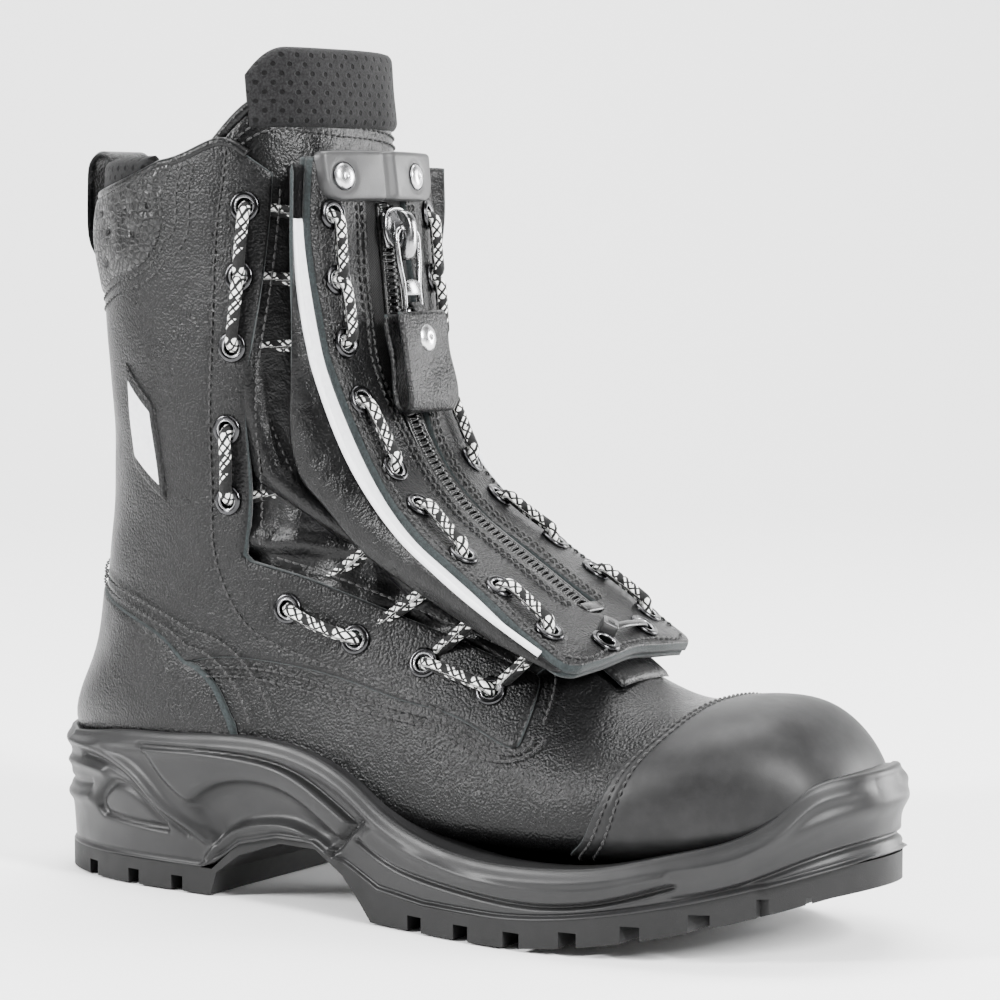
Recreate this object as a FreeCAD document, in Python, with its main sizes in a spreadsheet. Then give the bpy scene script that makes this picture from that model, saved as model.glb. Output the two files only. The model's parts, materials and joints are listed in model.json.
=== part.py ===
import FreeCAD, Part
import math
import os
from FreeCAD import Placement, Rotation, Vector

# A right-foot fire boot with a laced-in zip insert.  +X points to the toe, +Z is up, the
# outer (lateral) side is -Y, and the origin lies under the middle of the sole on the ground.

DOC = FreeCAD.newDocument("FireBoot")
SHEET = DOC.addObject("Spreadsheet::Sheet", "Sizes")

# Driving dimensions, in millimetres and degrees.
SIZES = [
    ("tread_depth", 9.0, "height of the rubber outsole"),
    ("lug_depth", 5.0, "depth of the grooves between lugs"),
    ("toe_spring", 22.0, "rise of the tread at the toe"),
    ("rim_wall", 3.2, "thickness of the midsole wall around the upper"),
    ("leather", 2.2, "thickness of the upper leather"),
    ("padding", 1.8, "thickness of foam, tongue, toe cap and counter"),
    ("lining_cloth", 1.4, "thickness of the membrane lining"),
    ("play", 0.25, "clearance between layers"),
    ("overlay", 1.4, "thickness of sewn-on leather overlays"),
    ("pad_top", 289.0, "top of the tongue pad"),
    ("insert_leather", 2.0, "thickness of the zip insert leather"),
    ("zip_slot_half", 6.0, "half width of the slot in the insert"),
    ("tape_half", 10.5, "half width of the closed zip tape"),
    ("tape_cloth", 0.6, "thickness of the zip tape"),
    ("chain_half", 4.4, "half width of the closed zip chain"),
    ("chain_gap", 0.7, "half gap between the two rows of teeth"),
    ("chain_rise", 1.2, "half thickness of the zip chain"),
    ("eyelet_outer", 5.2, "outer radius of an eyelet flange"),
    ("eyelet_hole", 2.7, "radius of an eyelet hole"),
    ("eyelet_rise", 1.0, "height of an eyelet flange"),
    ("lace", 4.4, "diameter of the round lace"),
    ("clip_width", 29.0, "width of a zip clip half"),
    ("clip_height", 17.0, "height of a zip clip half"),
    ("clip_depth", 3.4, "thickness of a zip clip half"),
    ("rivet_radius", 4.6, "radius of the rivet heads"),
    ("slider_length", 13.0, "length of the zip slider"),
    ("slider_width", 11.6, "width of the zip slider"),
    ("slider_play", 0.5, "clearance between slider and chain"),
    ("puller_length", 30.0, "length of the metal puller"),
    ("puller_width", 10.0, "width of the metal puller"),
    ("puller_gauge", 1.8, "thickness of the metal puller"),
    ("strap_width", 28.0, "width of the leather puller strap"),
    ("strap_length", 42.0, "length of the leather puller strap"),
    ("strap_leather", 1.8, "thickness of one layer of the strap"),
    ("loop_width", 25.0, "width of the rear pull loop"),
]

for line, (alias, value, meaning) in enumerate(SIZES, start=1):
    SHEET.set("A%d" % line, meaning)
    SHEET.set("B%d" % line, str(value))
    SHEET.setAlias("B%d" % line, alias)
DOC.recompute()


def size(alias):
    """The value of a named cell of the sheet."""
    return float(getattr(SHEET, alias))


# ---------------------------------------------------------------- zip line
# The zip runs down the instep in one plane: a straight shin line, a bend and a straight
# line over the foot.
ZIP_TOP = Vector(-34.0, 0, 252.0)
ZIP_CORNER = Vector(-22.5, 0, 146.4)
ZIP_END = Vector(67.0, 0, 89.7)
ZIP_BEND = 85.0
ZIP_RAISE = 2.5      # height of the insert's face above the line given by these three points
INSERT_LIFT = 8.3    # height of the insert's face above the foot's instep line

SHIN_DIR = (ZIP_CORNER - ZIP_TOP).normalize()
FOOT_DIR = (ZIP_END - ZIP_CORNER).normalize()
BEND_ANGLE = SHIN_DIR.getAngle(FOOT_DIR)
BEND_TANGENT = ZIP_BEND * math.tan(BEND_ANGLE / 2)
SHIN_RUN = (ZIP_CORNER - ZIP_TOP).Length - BEND_TANGENT
FOOT_RUN = (ZIP_END - ZIP_CORNER).Length - BEND_TANGENT
BEND_RUN = ZIP_BEND * BEND_ANGLE


def outward(direction):
    """The outward normal of the zip line for a downward direction."""
    return Vector(-direction.z, 0, direction.x)


def zip_frame(s):
    """Point, direction and outward normal of the zip line at the run s from its top."""
    bend_start = ZIP_CORNER - SHIN_DIR * BEND_TANGENT
    if s <= SHIN_RUN:
        return ZIP_TOP + SHIN_DIR * s, SHIN_DIR, outward(SHIN_DIR)
    if s >= SHIN_RUN + BEND_RUN:
        start = ZIP_CORNER + FOOT_DIR * BEND_TANGENT
        return start + FOOT_DIR * (s - SHIN_RUN - BEND_RUN), FOOT_DIR, outward(FOOT_DIR)
    angle = (s - SHIN_RUN) / ZIP_BEND
    centre = bend_start + outward(SHIN_DIR) * ZIP_BEND
    turn = Rotation(Vector(0, -1, 0), math.degrees(angle))
    direction = turn.multVec(SHIN_DIR)
    return centre - outward(direction) * ZIP_BEND, direction, outward(direction)


def on_zip(s, y, height=0.0):
    """A point on the zip insert: run s, side y, height above its face."""
    point, _, normal = zip_frame(s)
    place = point + normal * (height + ZIP_RAISE)
    return Vector(place.x, y, place.z)


def zip_placement(s, y, height=0.0):
    """A placement whose Z points out of the insert, X up the zip and Y to the lateral side."""
    _, direction, normal = zip_frame(s)
    turn = Rotation(direction * -1, Vector(0, -1, 0), normal, "ZXY")
    return Placement(on_zip(s, y, height), turn)


# ---------------------------------------------------------------- the last
# Cross-sections of the upper from the collar to the toe.  Each row: back or bottom point
# (x, z), half width, share of the depth in the front half, roundness of the front half and
# of the back half, and sideways shift.  Shaft rows start from a run of the zip line.
SHAFT_ROWS = [
    (-48, -141, 300, 46, 0.50, 3.0, 2.1),
    (0, -141, 248, 46, 0.50, 3.0, 2.1),
    (27, -141, 222, 46, 0.50, 3.0, 2.1),
    (57, -138, 192, 45.5, 0.50, 3.0, 2.1),
    (84, -137, 162, 44, 0.50, 2.9, 2.1),
    (108, -139, 131, 42, 0.50, 2.7, 2.1),
    (128, -143, 101, 41, 0.54, 2.5, 2.1),
    (147, -149, 72, 41, 0.58, 2.4, 2.2),
    (165, -151, 46, 42, 0.62, 2.3, 2.4),
    (182, -102, 33, 43, 0.66, 2.2, 2.6),
    (198, -56, 29, 45, 0.70, 2.2, 2.8),
]
# Toe rows add the top point in front.
TOE_ROWS = [
    (75, 79.5, -2, 25, 48, 0.70, 2.1, 3.0, 1.0),
    (89, 75, 45, 24, 51, 0.68, 2.1, 3.0, 2.0),
    (103, 76, 86, 25, 51, 0.66, 2.2, 3.0, 3.0),
    (116, 77, 113, 28, 47, 0.64, 2.3, 3.0, 3.5),
    (128, 75, 132, 32, 39, 0.62, 2.4, 2.8, 4.0),
    (139, 68, 146, 37, 28, 0.60, 2.4, 2.6, 4.0),
    (147, 59, 151, 43, 16, 0.56, 2.2, 2.2, 4.0),
    (151, 51, 152, 48, 4, 0.50, 2.0, 2.0, 4.0),
]


def last_rows():
    """All cross-sections as (front x, front z, back x, back z, half, share, e1, e2, shift)."""
    rows = []
    for s, back_x, back_z, half, share, front_e, back_e in SHAFT_ROWS:
        front = on_zip(s, 0, -INSERT_LIFT)
        rows.append((front.x, front.z, back_x, back_z, half, share, front_e, back_e, 0.0))
    return rows + TOE_ROWS


def last_point(row, angle, grow):
    """A point of one cross-section, grown outward, at an angle from its front."""
    front_x, front_z, back_x, back_z, half, share, front_e, back_e, shift = row
    forward = grow * min(max((front_x - 103.0) / 48.0, 0.0), 1.0)
    front_x += forward
    back_x += forward
    depth = math.hypot(back_x - front_x, back_z - front_z)
    step_x = (back_x - front_x) / depth
    step_z = (back_z - front_z) / depth
    cosine = math.cos(angle)
    sine = math.sin(angle)
    exponent = 2.0 / (front_e if cosine >= 0 else back_e)
    across = math.copysign(abs(sine) ** exponent, -sine)
    along = abs(cosine) ** exponent
    if cosine >= 0:
        inward = share * depth * (1 - along) - grow * along
    else:
        inward = share * depth + (1 - share) * depth * along + grow * along
    return Vector(front_x + step_x * inward, shift + (half + grow) * across,
                  front_z + step_z * inward)


SECTION_POINTS = 28


def last_solid(grow, first=0, end=None):
    """The filled shape of the last, grown outward by a distance (negative: inward)."""
    grid = []
    for row in last_rows()[first:end]:
        grid.append([last_point(row, math.pi + 2 * math.pi * n / SECTION_POINTS, grow)
                     for n in range(SECTION_POINTS + 1)])
    surface = Part.BSplineSurface()
    surface.interpolate(grid)
    skin = surface.toShape()
    u_low, u_high = surface.bounds()[:2]
    faces = [skin]
    for u in (u_low, u_high):
        faces.append(Part.Face(Part.Wire([surface.uIso(u).toShape()])))
    shell = Part.makeShell(faces)
    shell.sewShape()
    solid = Part.makeSolid(shell)
    if solid.Volume < 0:
        solid.reverse()
    return solid


def toe_end(grow):
    """How many toe rows a grown or shrunk last keeps, so that its tip stays sound."""
    if grow > -1:
        return None
    return -1 if grow > -3.5 else -2


LASTS = {}


def last(grow):
    """A cached last."""
    if grow not in LASTS:
        LASTS[grow] = last_solid(grow, 0, toe_end(grow))
    return LASTS[grow]


def layer(outer, inner):
    """The wall between two grown lasts, open at the top."""
    key = (outer, inner)
    if key not in LASTS:
        LASTS[key] = last(outer).cut(last(inner))
    return LASTS[key]


# ---------------------------------------------------------------- shape helpers
WIDE = 150.0


def side_prism(outline, y_from=-WIDE, y_to=WIDE):
    """A prism across the boot with an outline in the (x, z) plane."""
    points = [Vector(x, y_from, z) for x, z in outline]
    face = Part.Face(Part.makePolygon(points + points[:1]))
    return face.extrude(Vector(0, y_to - y_from, 0))


def smooth_prism(through, corners, y_from=-WIDE, y_to=WIDE):
    """A prism whose outline is a smooth curve closed by straight corners."""
    curve = Part.BSplineCurve()
    points = [Vector(x, y_from, z) for x, z in through]
    curve.interpolate(points)
    chain = [points[-1]] + [Vector(x, y_from, z) for x, z in corners] + [points[0]]
    edges = [curve.toShape()]
    edges += [Part.makeLine(a, b) for a, b in zip(chain, chain[1:])]
    return Part.Face(Part.Wire(edges)).extrude(Vector(0, y_to - y_from, 0))


def plan_prism(outline, z_from, z_to):
    """A prism up from a smooth closed outline in the (x, y) plane."""
    curve = Part.BSplineCurve()
    curve.interpolate([Vector(x, y, z_from) for x, y in outline], PeriodicFlag=True)
    face = Part.Face(Part.Wire([curve.toShape()]))
    return face.extrude(Vector(0, 0, z_to - z_from))


def flared_block(outlines):
    """A block whose smooth outline changes with height: (height, outline) pairs."""
    grid = []
    for height, outline in outlines:
        grid.append([Vector(x, y, height) for x, y in outline + outline[:1]])
    surface = Part.BSplineSurface()
    surface.interpolate(grid)
    faces = [surface.toShape()]
    u_low, u_high, _, _ = surface.bounds()
    for u in (u_low, u_high):
        faces.append(Part.Face(Part.Wire([surface.uIso(u).toShape()])))
    shell = Part.makeShell(faces)
    shell.sewShape()
    return Part.makeSolid(shell)


def half_space(sign, gap=0.2):
    """A block that holds one side of the boot, short of the middle plane by a seam gap."""
    low = gap if sign > 0 else -100 - gap
    return Part.makeBox(400, 100, 400, Vector(-200, low, -50))


def feature(name, shape, placement=None):
    """A sub-part whose shape is made here."""
    node = DOC.addObject("Part::Feature", name)
    node.Shape = shape
    node.Label = name
    if placement is not None:
        node.Placement = placement
    return node


def solids_of(shape):
    """The shape's solids, one alone or several as a compound."""
    solids = [solid for solid in shape.Solids if solid.Volume > 1.0]
    return solids[0] if len(solids) == 1 else Part.makeCompound(solids)


def body(name):
    """A PartDesign body with its own label."""
    made = DOC.addObject("PartDesign::Body", name)
    made.Label = name
    return made


def sketch_on(owner, role, name, offset=0.0):
    """A sketch on one of a body's origin planes."""
    plane = [item for item in owner.Origin.OriginFeatures if item.Role == role][0]
    sketch = owner.newObject("Sketcher::SketchObject", name)
    sketch.AttachmentSupport = [(plane, "")]
    sketch.MapMode = "FlatFace"
    sketch.AttachmentOffset = Placement(Vector(0, 0, offset), Rotation())
    return sketch


def draw_polygon(sketch, points):
    """Closed straight outline."""
    for (x0, y0), (x1, y1) in zip(points, points[1:] + points[:1]):
        sketch.addGeometry(Part.LineSegment(Vector(x0, y0, 0), Vector(x1, y1, 0)), False)


def pad(owner, sketch, name, length, symmetric=False):
    """A pad whose length is bound to an expression."""
    made = owner.newObject("PartDesign::Pad", name)
    made.Profile = sketch
    made.setExpression("Length", length)
    if symmetric:
        made.Midplane = True
    return made


SIDES = (("lateral", -1), ("medial", 1))


# ---------------------------------------------------------------- sole
SOLE_OUTLINE = [
    (-159, 0), (-151, -23), (-124, -38), (-85, -42), (-42, -44), (0, -50), (48, -57.6),
    (90, -54), (127, -38), (151, -15), (159, 4), (152, 25), (125, 44), (86, 57), (46, 54),
    (0, 44), (-42, 38), (-85, 38), (-124, 36), (-151, 23),
]
# The same twenty points at the top of the midsole wall, where it wraps the upper.
RIM_OUTLINE = [
    (-158, 0), (-151, -24), (-126, -40), (-87, -46.5), (-43, -47.5), (0, -51.5), (48, -56.5),
    (90, -54.5), (127, -40), (150, -17), (157, 4), (151, 27), (126, 47), (86, 58), (46, 55),
    (0, 49), (-43, 47), (-87, 46.5), (-126, 40), (-151, 24),
]


def ground_rise(x):
    """Height of the tread's underside: flat, then curved up to the toe."""
    ratio = min(max((x - 48.0) / 108.0, 0.0), 1.0)
    return size("toe_spring") * ratio ** 1.7


def sole_profile(top_line):
    """A prism across the sole from the curved tread line up to a top line."""
    curve = [(-162, 0), (40, 0)] + [(x, ground_rise(x)) for x in range(50, 161, 11)]
    return side_prism(curve + [(162, curve[-1][1])] + top_line[::-1])


def tread_top():
    """The parting line between rubber outsole and midsole."""
    depth = size("tread_depth")
    line = [(-162, depth), (-74, depth), (-62, 19), (-44, 23.2), (-28, 23.2), (-14, 17.5)]
    line += [(0, depth + 2), (20, depth)]
    line += [(x, ground_rise(x) + depth) for x in range(50, 161, 11)]
    return line + [(162, ground_rise(162) + depth)]


ARCH = [(-75, -1), (-72, 8), (-62, 15), (-44, 21), (-28, 21), (-16, 14), (-8, 6), (-2, -1)]


def tread_grooves():
    """Grooves that part the lugs along both edges and across the middle."""
    depth = size("lug_depth")
    cutters = []
    for x in (-134, -112, -92):
        cutters.append(Part.makeBox(5, 22, depth, Vector(x, -48, 0)))
        cutters.append(Part.makeBox(5, 22, depth, Vector(x, 26, 0)))
        cutters.append(Part.makeBox(4, 40, depth, Vector(x + 8, -20, 0)))
    for x in (14, 34, 54, 74, 94, 114, 132):
        base = ground_rise(x + 3) - 3
        high = depth + 3
        cutters.append(Part.makeBox(6, 30, high, Vector(x, -62, base)))
        cutters.append(Part.makeBox(6, 30, high, Vector(x, 30, base)))
        cutters.append(Part.makeBox(4, 48, high, Vector(x + 9, -24, base)))
    return cutters


def make_outsole():
    """Rubber tread with lugs, an arch bridge and a curved toe."""
    plan = plan_prism(SOLE_OUTLINE, -2, 60)
    shape = plan.common(sole_profile(tread_top()))
    shape = shape.cut(side_prism(ARCH))
    shape = shape.cut(tread_grooves())
    return feature("outsole", solids_of(shape))


RIM = [
    (-162, 50), (-140, 49), (-114, 52), (-87, 53.5), (-62, 55), (-40, 54), (-23, 50), (-10, 44),
    (1, 37), (17, 30), (40, 25.5), (63, 25), (87, 27), (112, 33), (128, 38), (138, 45),
    (146, 53), (162, 56),
]


def make_midsole():
    """Soft polyurethane midsole whose wall rises around the upper."""
    blank = flared_block([(-2, SOLE_OUTLINE), (16, SOLE_OUTLINE), (34, RIM_OUTLINE),
                          (62, RIM_OUTLINE)])
    low = [(x, z + size("play")) for x, z in tread_top()]
    band = side_prism(low + RIM[::-1])
    shape = blank.common(band).cut(last(size("play")))
    shape = shape.cut(shank_blank(0.2))
    return feature("midsole", solids_of(shape))


SHANK_LINE = [(-92, 28), (-56, 26.8), (-25, 25.4), (4, 21)]


def shank_blank(play):
    """Curved strip under the arch, with some clearance around it."""
    thick = 1.6 + 2 * play
    top = [(x, z + play) for x, z in SHANK_LINE]
    low = [(x, z + play - thick) for x, z in SHANK_LINE]
    top = [(top[0][0] - play, top[0][1])] + top[1:-1] + [(top[-1][0] + play, top[-1][1])]
    low = [(low[0][0] - play, low[0][1])] + low[1:-1] + [(low[-1][0] + play, low[-1][1])]
    return side_prism(top + low[::-1], -8 - play, 8 + play)


def make_shank():
    """Steel shank that stiffens the arch."""
    return feature("shank", shank_blank(0.0))


def bottom_band(above):
    """A prism that keeps what lies close to the underside of the foot."""
    line = [(-146, 46), (-130, 36), (-102, 33), (-56, 29), (-2, 25), (45, 24), (86, 25), (113, 28),
            (126, 32)]
    top = [(x, z + above) for x, z in line]
    return side_prism([(-146, 10), (126, 10)] + top[::-1])


def make_bottom_boards():
    """Puncture-resistant plate and lasting board inside the leather."""
    skin = size("leather") + size("play")
    plate = layer(-skin, -skin - 0.8).common(bottom_band(5.0))
    board = layer(-skin - 0.8 - 0.05, -skin - size("padding")).common(bottom_band(5.0))
    return [feature("puncture_plate", solids_of(plate)),
            feature("insole_board", solids_of(board))]


def inner_skin():
    """Offsets of the lining: outer and inner face."""
    outer = size("leather") + size("padding") + 2 * size("play")
    return -outer, -outer - size("lining_cloth")


def make_footbed():
    """Removable footbed on the lining."""
    _, inner = inner_skin()
    shape = last(inner - size("play")).common(bottom_band(11.0))
    shape = shape.cut(last_solid(inner - size("play") - 3.5, 0, -3))
    return feature("footbed", solids_of(shape))


# ---------------------------------------------------------------- upper
SEAM = [(60, 58), (57, 62.5), (49, 62.5), (33.5, 65), (5, 72), (-27, 79), (-59, 82), (-80.5, 80)]
HEEL_EDGE = [(-160, 104), (-136, 100), (-108, 92), (-94, 86.5), (-80.5, 80), (-71, 71), (-65, 63),
             (-61, 52), (-56, 36), (-54, 20)]
SHAFT_EDGE = [(-49.5, 262), (-50.2, 236), (-52.2, 206), (-54.4, 192), (-57.6, 169), (-59.4, 140),
              (-59.2, 121)]
FACING_EDGE = [(-59.2, 121), (-53.6, 115), (-39, 111.2), (-23, 106.2), (-3.4, 99.6), (14.5, 93.7),
               (33, 87.3), (45.5, 83.4), (49, 79.7), (49.8, 69.6), (49, 62.5)]
COLLAR_EDGE = [(-160, 238), (-122, 239), (-85, 249), (-66, 252), (-49, 244)]


def quarter_region():
    """Side view of a quarter, from the collar to the seams."""
    outline = COLLAR_EDGE[:-1] + SHAFT_EDGE[1:-1] + FACING_EDGE + SEAM[3:]
    return side_prism(outline + HEEL_EDGE[3::-1])


def make_leather():
    """Vamp, heel cover and the two quarters: one layer of leather in pieces."""
    skin = layer(0.0, -size("leather"))
    heel = skin.common(side_prism(HEEL_EDGE + [(-160, 20)]))
    front = [(-54, 20), (-56, 36), (-61, 52), (-65, 63), (-71, 71), (-80.5, 80)]
    vamp_region = side_prism(front + SEAM[6:1:-1] + [(50, 71), (49, 86), (60, 100), (170, 100),
                                                    (170, 10)])
    made = [feature("heel_cover", solids_of(heel)),
            feature("vamp", solids_of(skin.common(vamp_region)))]
    region = skin.common(quarter_region())
    for side, sign in SIDES:
        half = half_space(sign)
        made.append(feature("quarter_" + side, solids_of(region.common(half))))
    return made


TOE_EDGE = [(108, 92), (103, 78), (99, 74), (93, 66), (87, 56), (82, 47), (77, 36), (74, 22)]


def make_toe_cover():
    """Abrasion-resistant cover over the toe."""
    shape = layer(size("overlay") + 0.1, 0.1).common(
        smooth_prism(TOE_EDGE, [(74, 10), (170, 10), (170, 92)]))
    shape = shape.cut(last_solid(size("rim_wall") + 1.0).common(
        side_prism(RIM + [(162, 0), (-162, 0)])))
    return feature("toe_cover", solids_of(shape))


def make_facings():
    """Sewn-on lace facings: one up the shaft and one along the instep on each side."""
    skin = layer(size("overlay") + 0.1, 0.1)
    shaft = [(-51, 244), (-50.7, 236), (-52.7, 206), (-54.9, 192), (-58.1, 169), (-59.9, 140),
             (-59.7, 122), (-73, 126), (-73.5, 150), (-71, 177), (-69.5, 206), (-67.5, 233),
             (-64.5, 251)]
    foot = [(-59.7, 121), (-53.6, 114.5), (-39, 110.7), (-23, 105.7), (-3.4, 99.1), (14.5, 93.2),
            (33, 86.8), (45.5, 82.9), (48.5, 79.7), (49.3, 69.6), (48.5, 63.5), (1, 75.5),
            (-38, 84.5), (-59.5, 93), (-68.5, 107), (-72, 119)]
    made = []
    for side, sign in SIDES:
        half = half_space(sign)
        for name, outline in (("shaft_facing_", shaft), ("instep_facing_", foot)):
            shape = skin.common(side_prism(outline)).common(half)
            made.append(feature(name + side, solids_of(shape)))
    return made


def make_inner_layers():
    """Stiff toe cap and heel counter, shaft foam, tongue and gussets between the leathers."""
    skin = size("leather") + size("play")
    middle = layer(-skin, -skin - size("padding"))
    keep_bottom = bottom_band(6.0)
    toe = middle.common(side_prism([(88, 10), (170, 10), (170, 110), (98, 110)])).cut(keep_bottom)
    counter = middle.common(side_prism([(-170, 20), (-84, 20), (-88, 70), (-100, 94), (-170, 100)]))
    made = [feature("safety_toe_cap", solids_of(toe)),
            feature("heel_counter", solids_of(counter.cut(keep_bottom)))]
    foam_line = [(-170, 101), (-100, 95), (-88, 71), (-83, 50), (30, 45), (30, 62), (-20, 76),
                 (-62, 90), (-78, 118), (-80, 226), (-170, 219)]
    foam = middle.common(side_prism(foam_line)).cut(keep_bottom)
    made.append(feature("shaft_foam", solids_of(foam)))
    tongue_line = [(-79.5, 248), (-78.5, 226), (-77, 118), (-61, 91), (-19, 77), (31, 63), (86, 58),
                   (96, 110), (30, 150), (0, 263), (-60, 263), (-70, 258)]
    tongue = middle.common(side_prism(tongue_line))
    for side, sign in SIDES:
        low = 27 if sign > 0 else -100
        strip = Part.makeBox(400, 73, 400, Vector(-200, low, -50))
        made.append(feature("gusset_" + side, solids_of(tongue.common(strip))))
    centre = Part.makeBox(400, 53.6, 400, Vector(-200, -26.8, -50))
    made.append(feature("tongue", solids_of(tongue.common(centre))))
    return made


def make_lining():
    """Waterproof lining sock, with the tongue pad and collar pad above it."""
    outer, inner = inner_skin()
    sock = layer(outer, inner).common(
        side_prism([(-170, 10), (170, 10), (170, 110), (0, 250), (-70, 249), (-85, 224),
                    (-170, 218)]))
    pad_wall = layer(-size("leather") - size("play"), inner - 2.0)
    collar = pad_wall.common(side_prism([(-170, 220), (-87, 226), (-82, 232), (-82, 249),
                                         (-90, 252), (-120, 250), (-170, 248)]))
    top = pad_wall.common(side_prism([(-58, 263.3), (10, 263.3), (10, 284),
                                      (-36, size("pad_top")), (-52, size("pad_top") - 3),
                                      (-59, size("pad_top") - 10)]))
    return [feature("lining", solids_of(sock)), feature("collar_pad", solids_of(collar)),
            feature("tongue_pad", solids_of(top))]


def make_collar_patches():
    """Flexible leather patches around the rear of the collar, and reflective marks."""
    skin = layer(size("overlay") + 0.1, 0.1)
    patch = skin.common(side_prism([(-160, 236), (-122, 237), (-86, 246), (-89, 240), (-90, 228),
                                    (-92.5, 221.5), (-97.5, 215), (-129, 204), (-160, 202)]))
    patch = patch.cut(Part.makeBox(40, 27, 60, Vector(-170, -13.5, 200)))
    mark = layer(0.9, 0.1).common(
        side_prism([(-116, 176), (-105, 182), (-94, 148), (-105, 142)]))
    made = []
    for side, sign in SIDES:
        half = half_space(sign)
        made.append(feature("collar_patch_" + side, solids_of(patch.common(half))))
        made.append(feature("reflective_mark_" + side, solids_of(mark.common(half))))
    return made


def make_pull_loop():
    """Leather loop behind the collar for pulling the boot on."""
    owner = body("pull_loop")
    sketch = sketch_on(owner, "XZ_Plane", "pull_loop_sketch")
    outer = [(-141.6, 200), (-149.5, 207), (-152, 236), (-157, 244), (-158, 249),
             (-154, 253.5), (-147, 252), (-141.6, 246)]
    inner = [(-141.6, 203), (-147.4, 209), (-149.6, 236.5), (-154.5, 245), (-155.4, 248.5),
             (-153, 251), (-148, 249.5), (-141.6, 243)]
    draw_polygon(sketch, outer + inner[::-1])
    pad(owner, sketch, "pull_loop_pad", "Sizes.loop_width", symmetric=True)
    return owner


# ---------------------------------------------------------------- zip insert
def zip_band(s_from, s_to, low, high, half_in, half_out, sign=0):
    """A band along the zip between two heights; one side of the boot, or both at once."""
    steps = 16
    runs = [s_from + (s_to - s_from) * n / steps for n in range(steps + 1)]
    top = [on_zip(s, 0, high) for s in runs]
    bottom = [on_zip(s, 0, low) for s in runs]
    upper = Part.BSplineCurve()
    upper.interpolate(top)
    lower = Part.BSplineCurve()
    lower.interpolate(bottom[::-1])
    wire = Part.Wire([upper.toShape(), Part.makeLine(top[-1], bottom[-1]), lower.toShape(),
                      Part.makeLine(bottom[0], top[0])])
    face = Part.Face(wire)
    if sign == 0:
        return face.translate(Vector(0, -half_out, 0)).extrude(Vector(0, 2 * half_out, 0))
    start = half_in if sign > 0 else -half_out
    return face.translate(Vector(0, start, 0)).extrude(Vector(0, half_out - half_in, 0))


EYELET_RUNS = [(21, 28), (43, 28), (64, 27), (84, 25.5), (109, 23.5), (126, 24), (151, 28),
               (169, 30), (191, 31.5)]
END_EYELET = (200, 14)
QUARTER_EYELETS = [(-58.5, 234), (-59.8, 210), (-62.3, 187), (-65.3, 159), (-65.8, 135)]
INSTEP_EYELETS = [(-43, 100), (-18, 91), (8, 84.5), (33.5, 77.3)]


def zip_holes(radius, depth):
    """Cylinders through the insert at each of its eyelets."""
    holes = []
    for s, y in EYELET_RUNS + [END_EYELET]:
        for sign in (-1, 1):
            hole = Part.makeCylinder(radius, 2 * depth, Vector(0, 0, -depth))
            hole.Placement = zip_placement(s, sign * y)
            holes.append(hole)
    return holes


def make_insert():
    """Leather zip insert with a slot for the zip, and the wings beneath it."""
    band = zip_band(2, 204, -size("insert_leather"), 0.0, 0, 38)
    slot = zip_band(-2, 188, -9, 9, 0, size("zip_slot_half"))
    insert = band.cut([slot] + zip_holes(size("eyelet_hole") + 0.4, 6))
    made = [feature("zip_insert", solids_of(insert))]
    low = -size("insert_leather") - size("play") - size("tape_cloth") - 1.6
    for side, sign in SIDES:
        wing = zip_band(8, 206, low, -size("insert_leather") - 0.1, 33, 46, sign)
        wing = wing.cut(zip_holes(size("lace") / 2 + 0.6, 9))
        made.append(feature("insert_wing_" + side, solids_of(wing)))
        piping = zip_band(22, 202, -size("insert_leather"), -size("insert_leather") + 1.2, 40, 43,
                          sign)
        made.append(feature("reflective_piping_" + side, solids_of(piping)))
    return made


def make_zip():
    """Zip tapes, the two rows of teeth and the stops."""
    made = []
    top = -size("insert_leather") - 0.1
    for side, sign in SIDES:
        tape = zip_band(3, 190, top - size("tape_cloth"), top, size("chain_gap"),
                        size("tape_half"), sign)
        made.append(feature("zip_tape_" + side, solids_of(tape)))
        middle = 0.6
        teeth = zip_band(18.2, 184, middle - size("chain_rise"), middle + size("chain_rise"),
                         size("chain_gap"), size("chain_half"), sign)
        rail = zip_band(18.2, 184, top - 0.05, middle - size("chain_rise") + 0.05, 2.0, 3.2, sign)
        made.append(feature("zip_teeth_" + side, solids_of(teeth.fuse(rail))))
    stop = zip_band(184.5, 188, top, 2.2, 0, 5)
    made.append(feature("zip_bottom_stop", solids_of(stop)))
    return made


def eyelet_ring():
    """A rolled eyelet: domed flange and a short barrel."""
    outer = size("eyelet_outer")
    hole = size("eyelet_hole")
    rise = size("eyelet_rise")
    barrel = size("leather")
    profile = [(hole, -barrel), (hole + 0.35, -barrel), (hole + 0.35, 0), (outer, 0),
               (outer, rise * 0.4), (outer - 1.1, rise), (hole + 0.5, rise), (hole, rise * 0.5)]
    points = [Vector(x, 0, z) for x, z in profile]
    face = Part.Face(Part.makePolygon(points + points[:1]))
    return face.revolve(Vector(0, 0, 0), Vector(0, 0, 1), 360)


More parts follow.
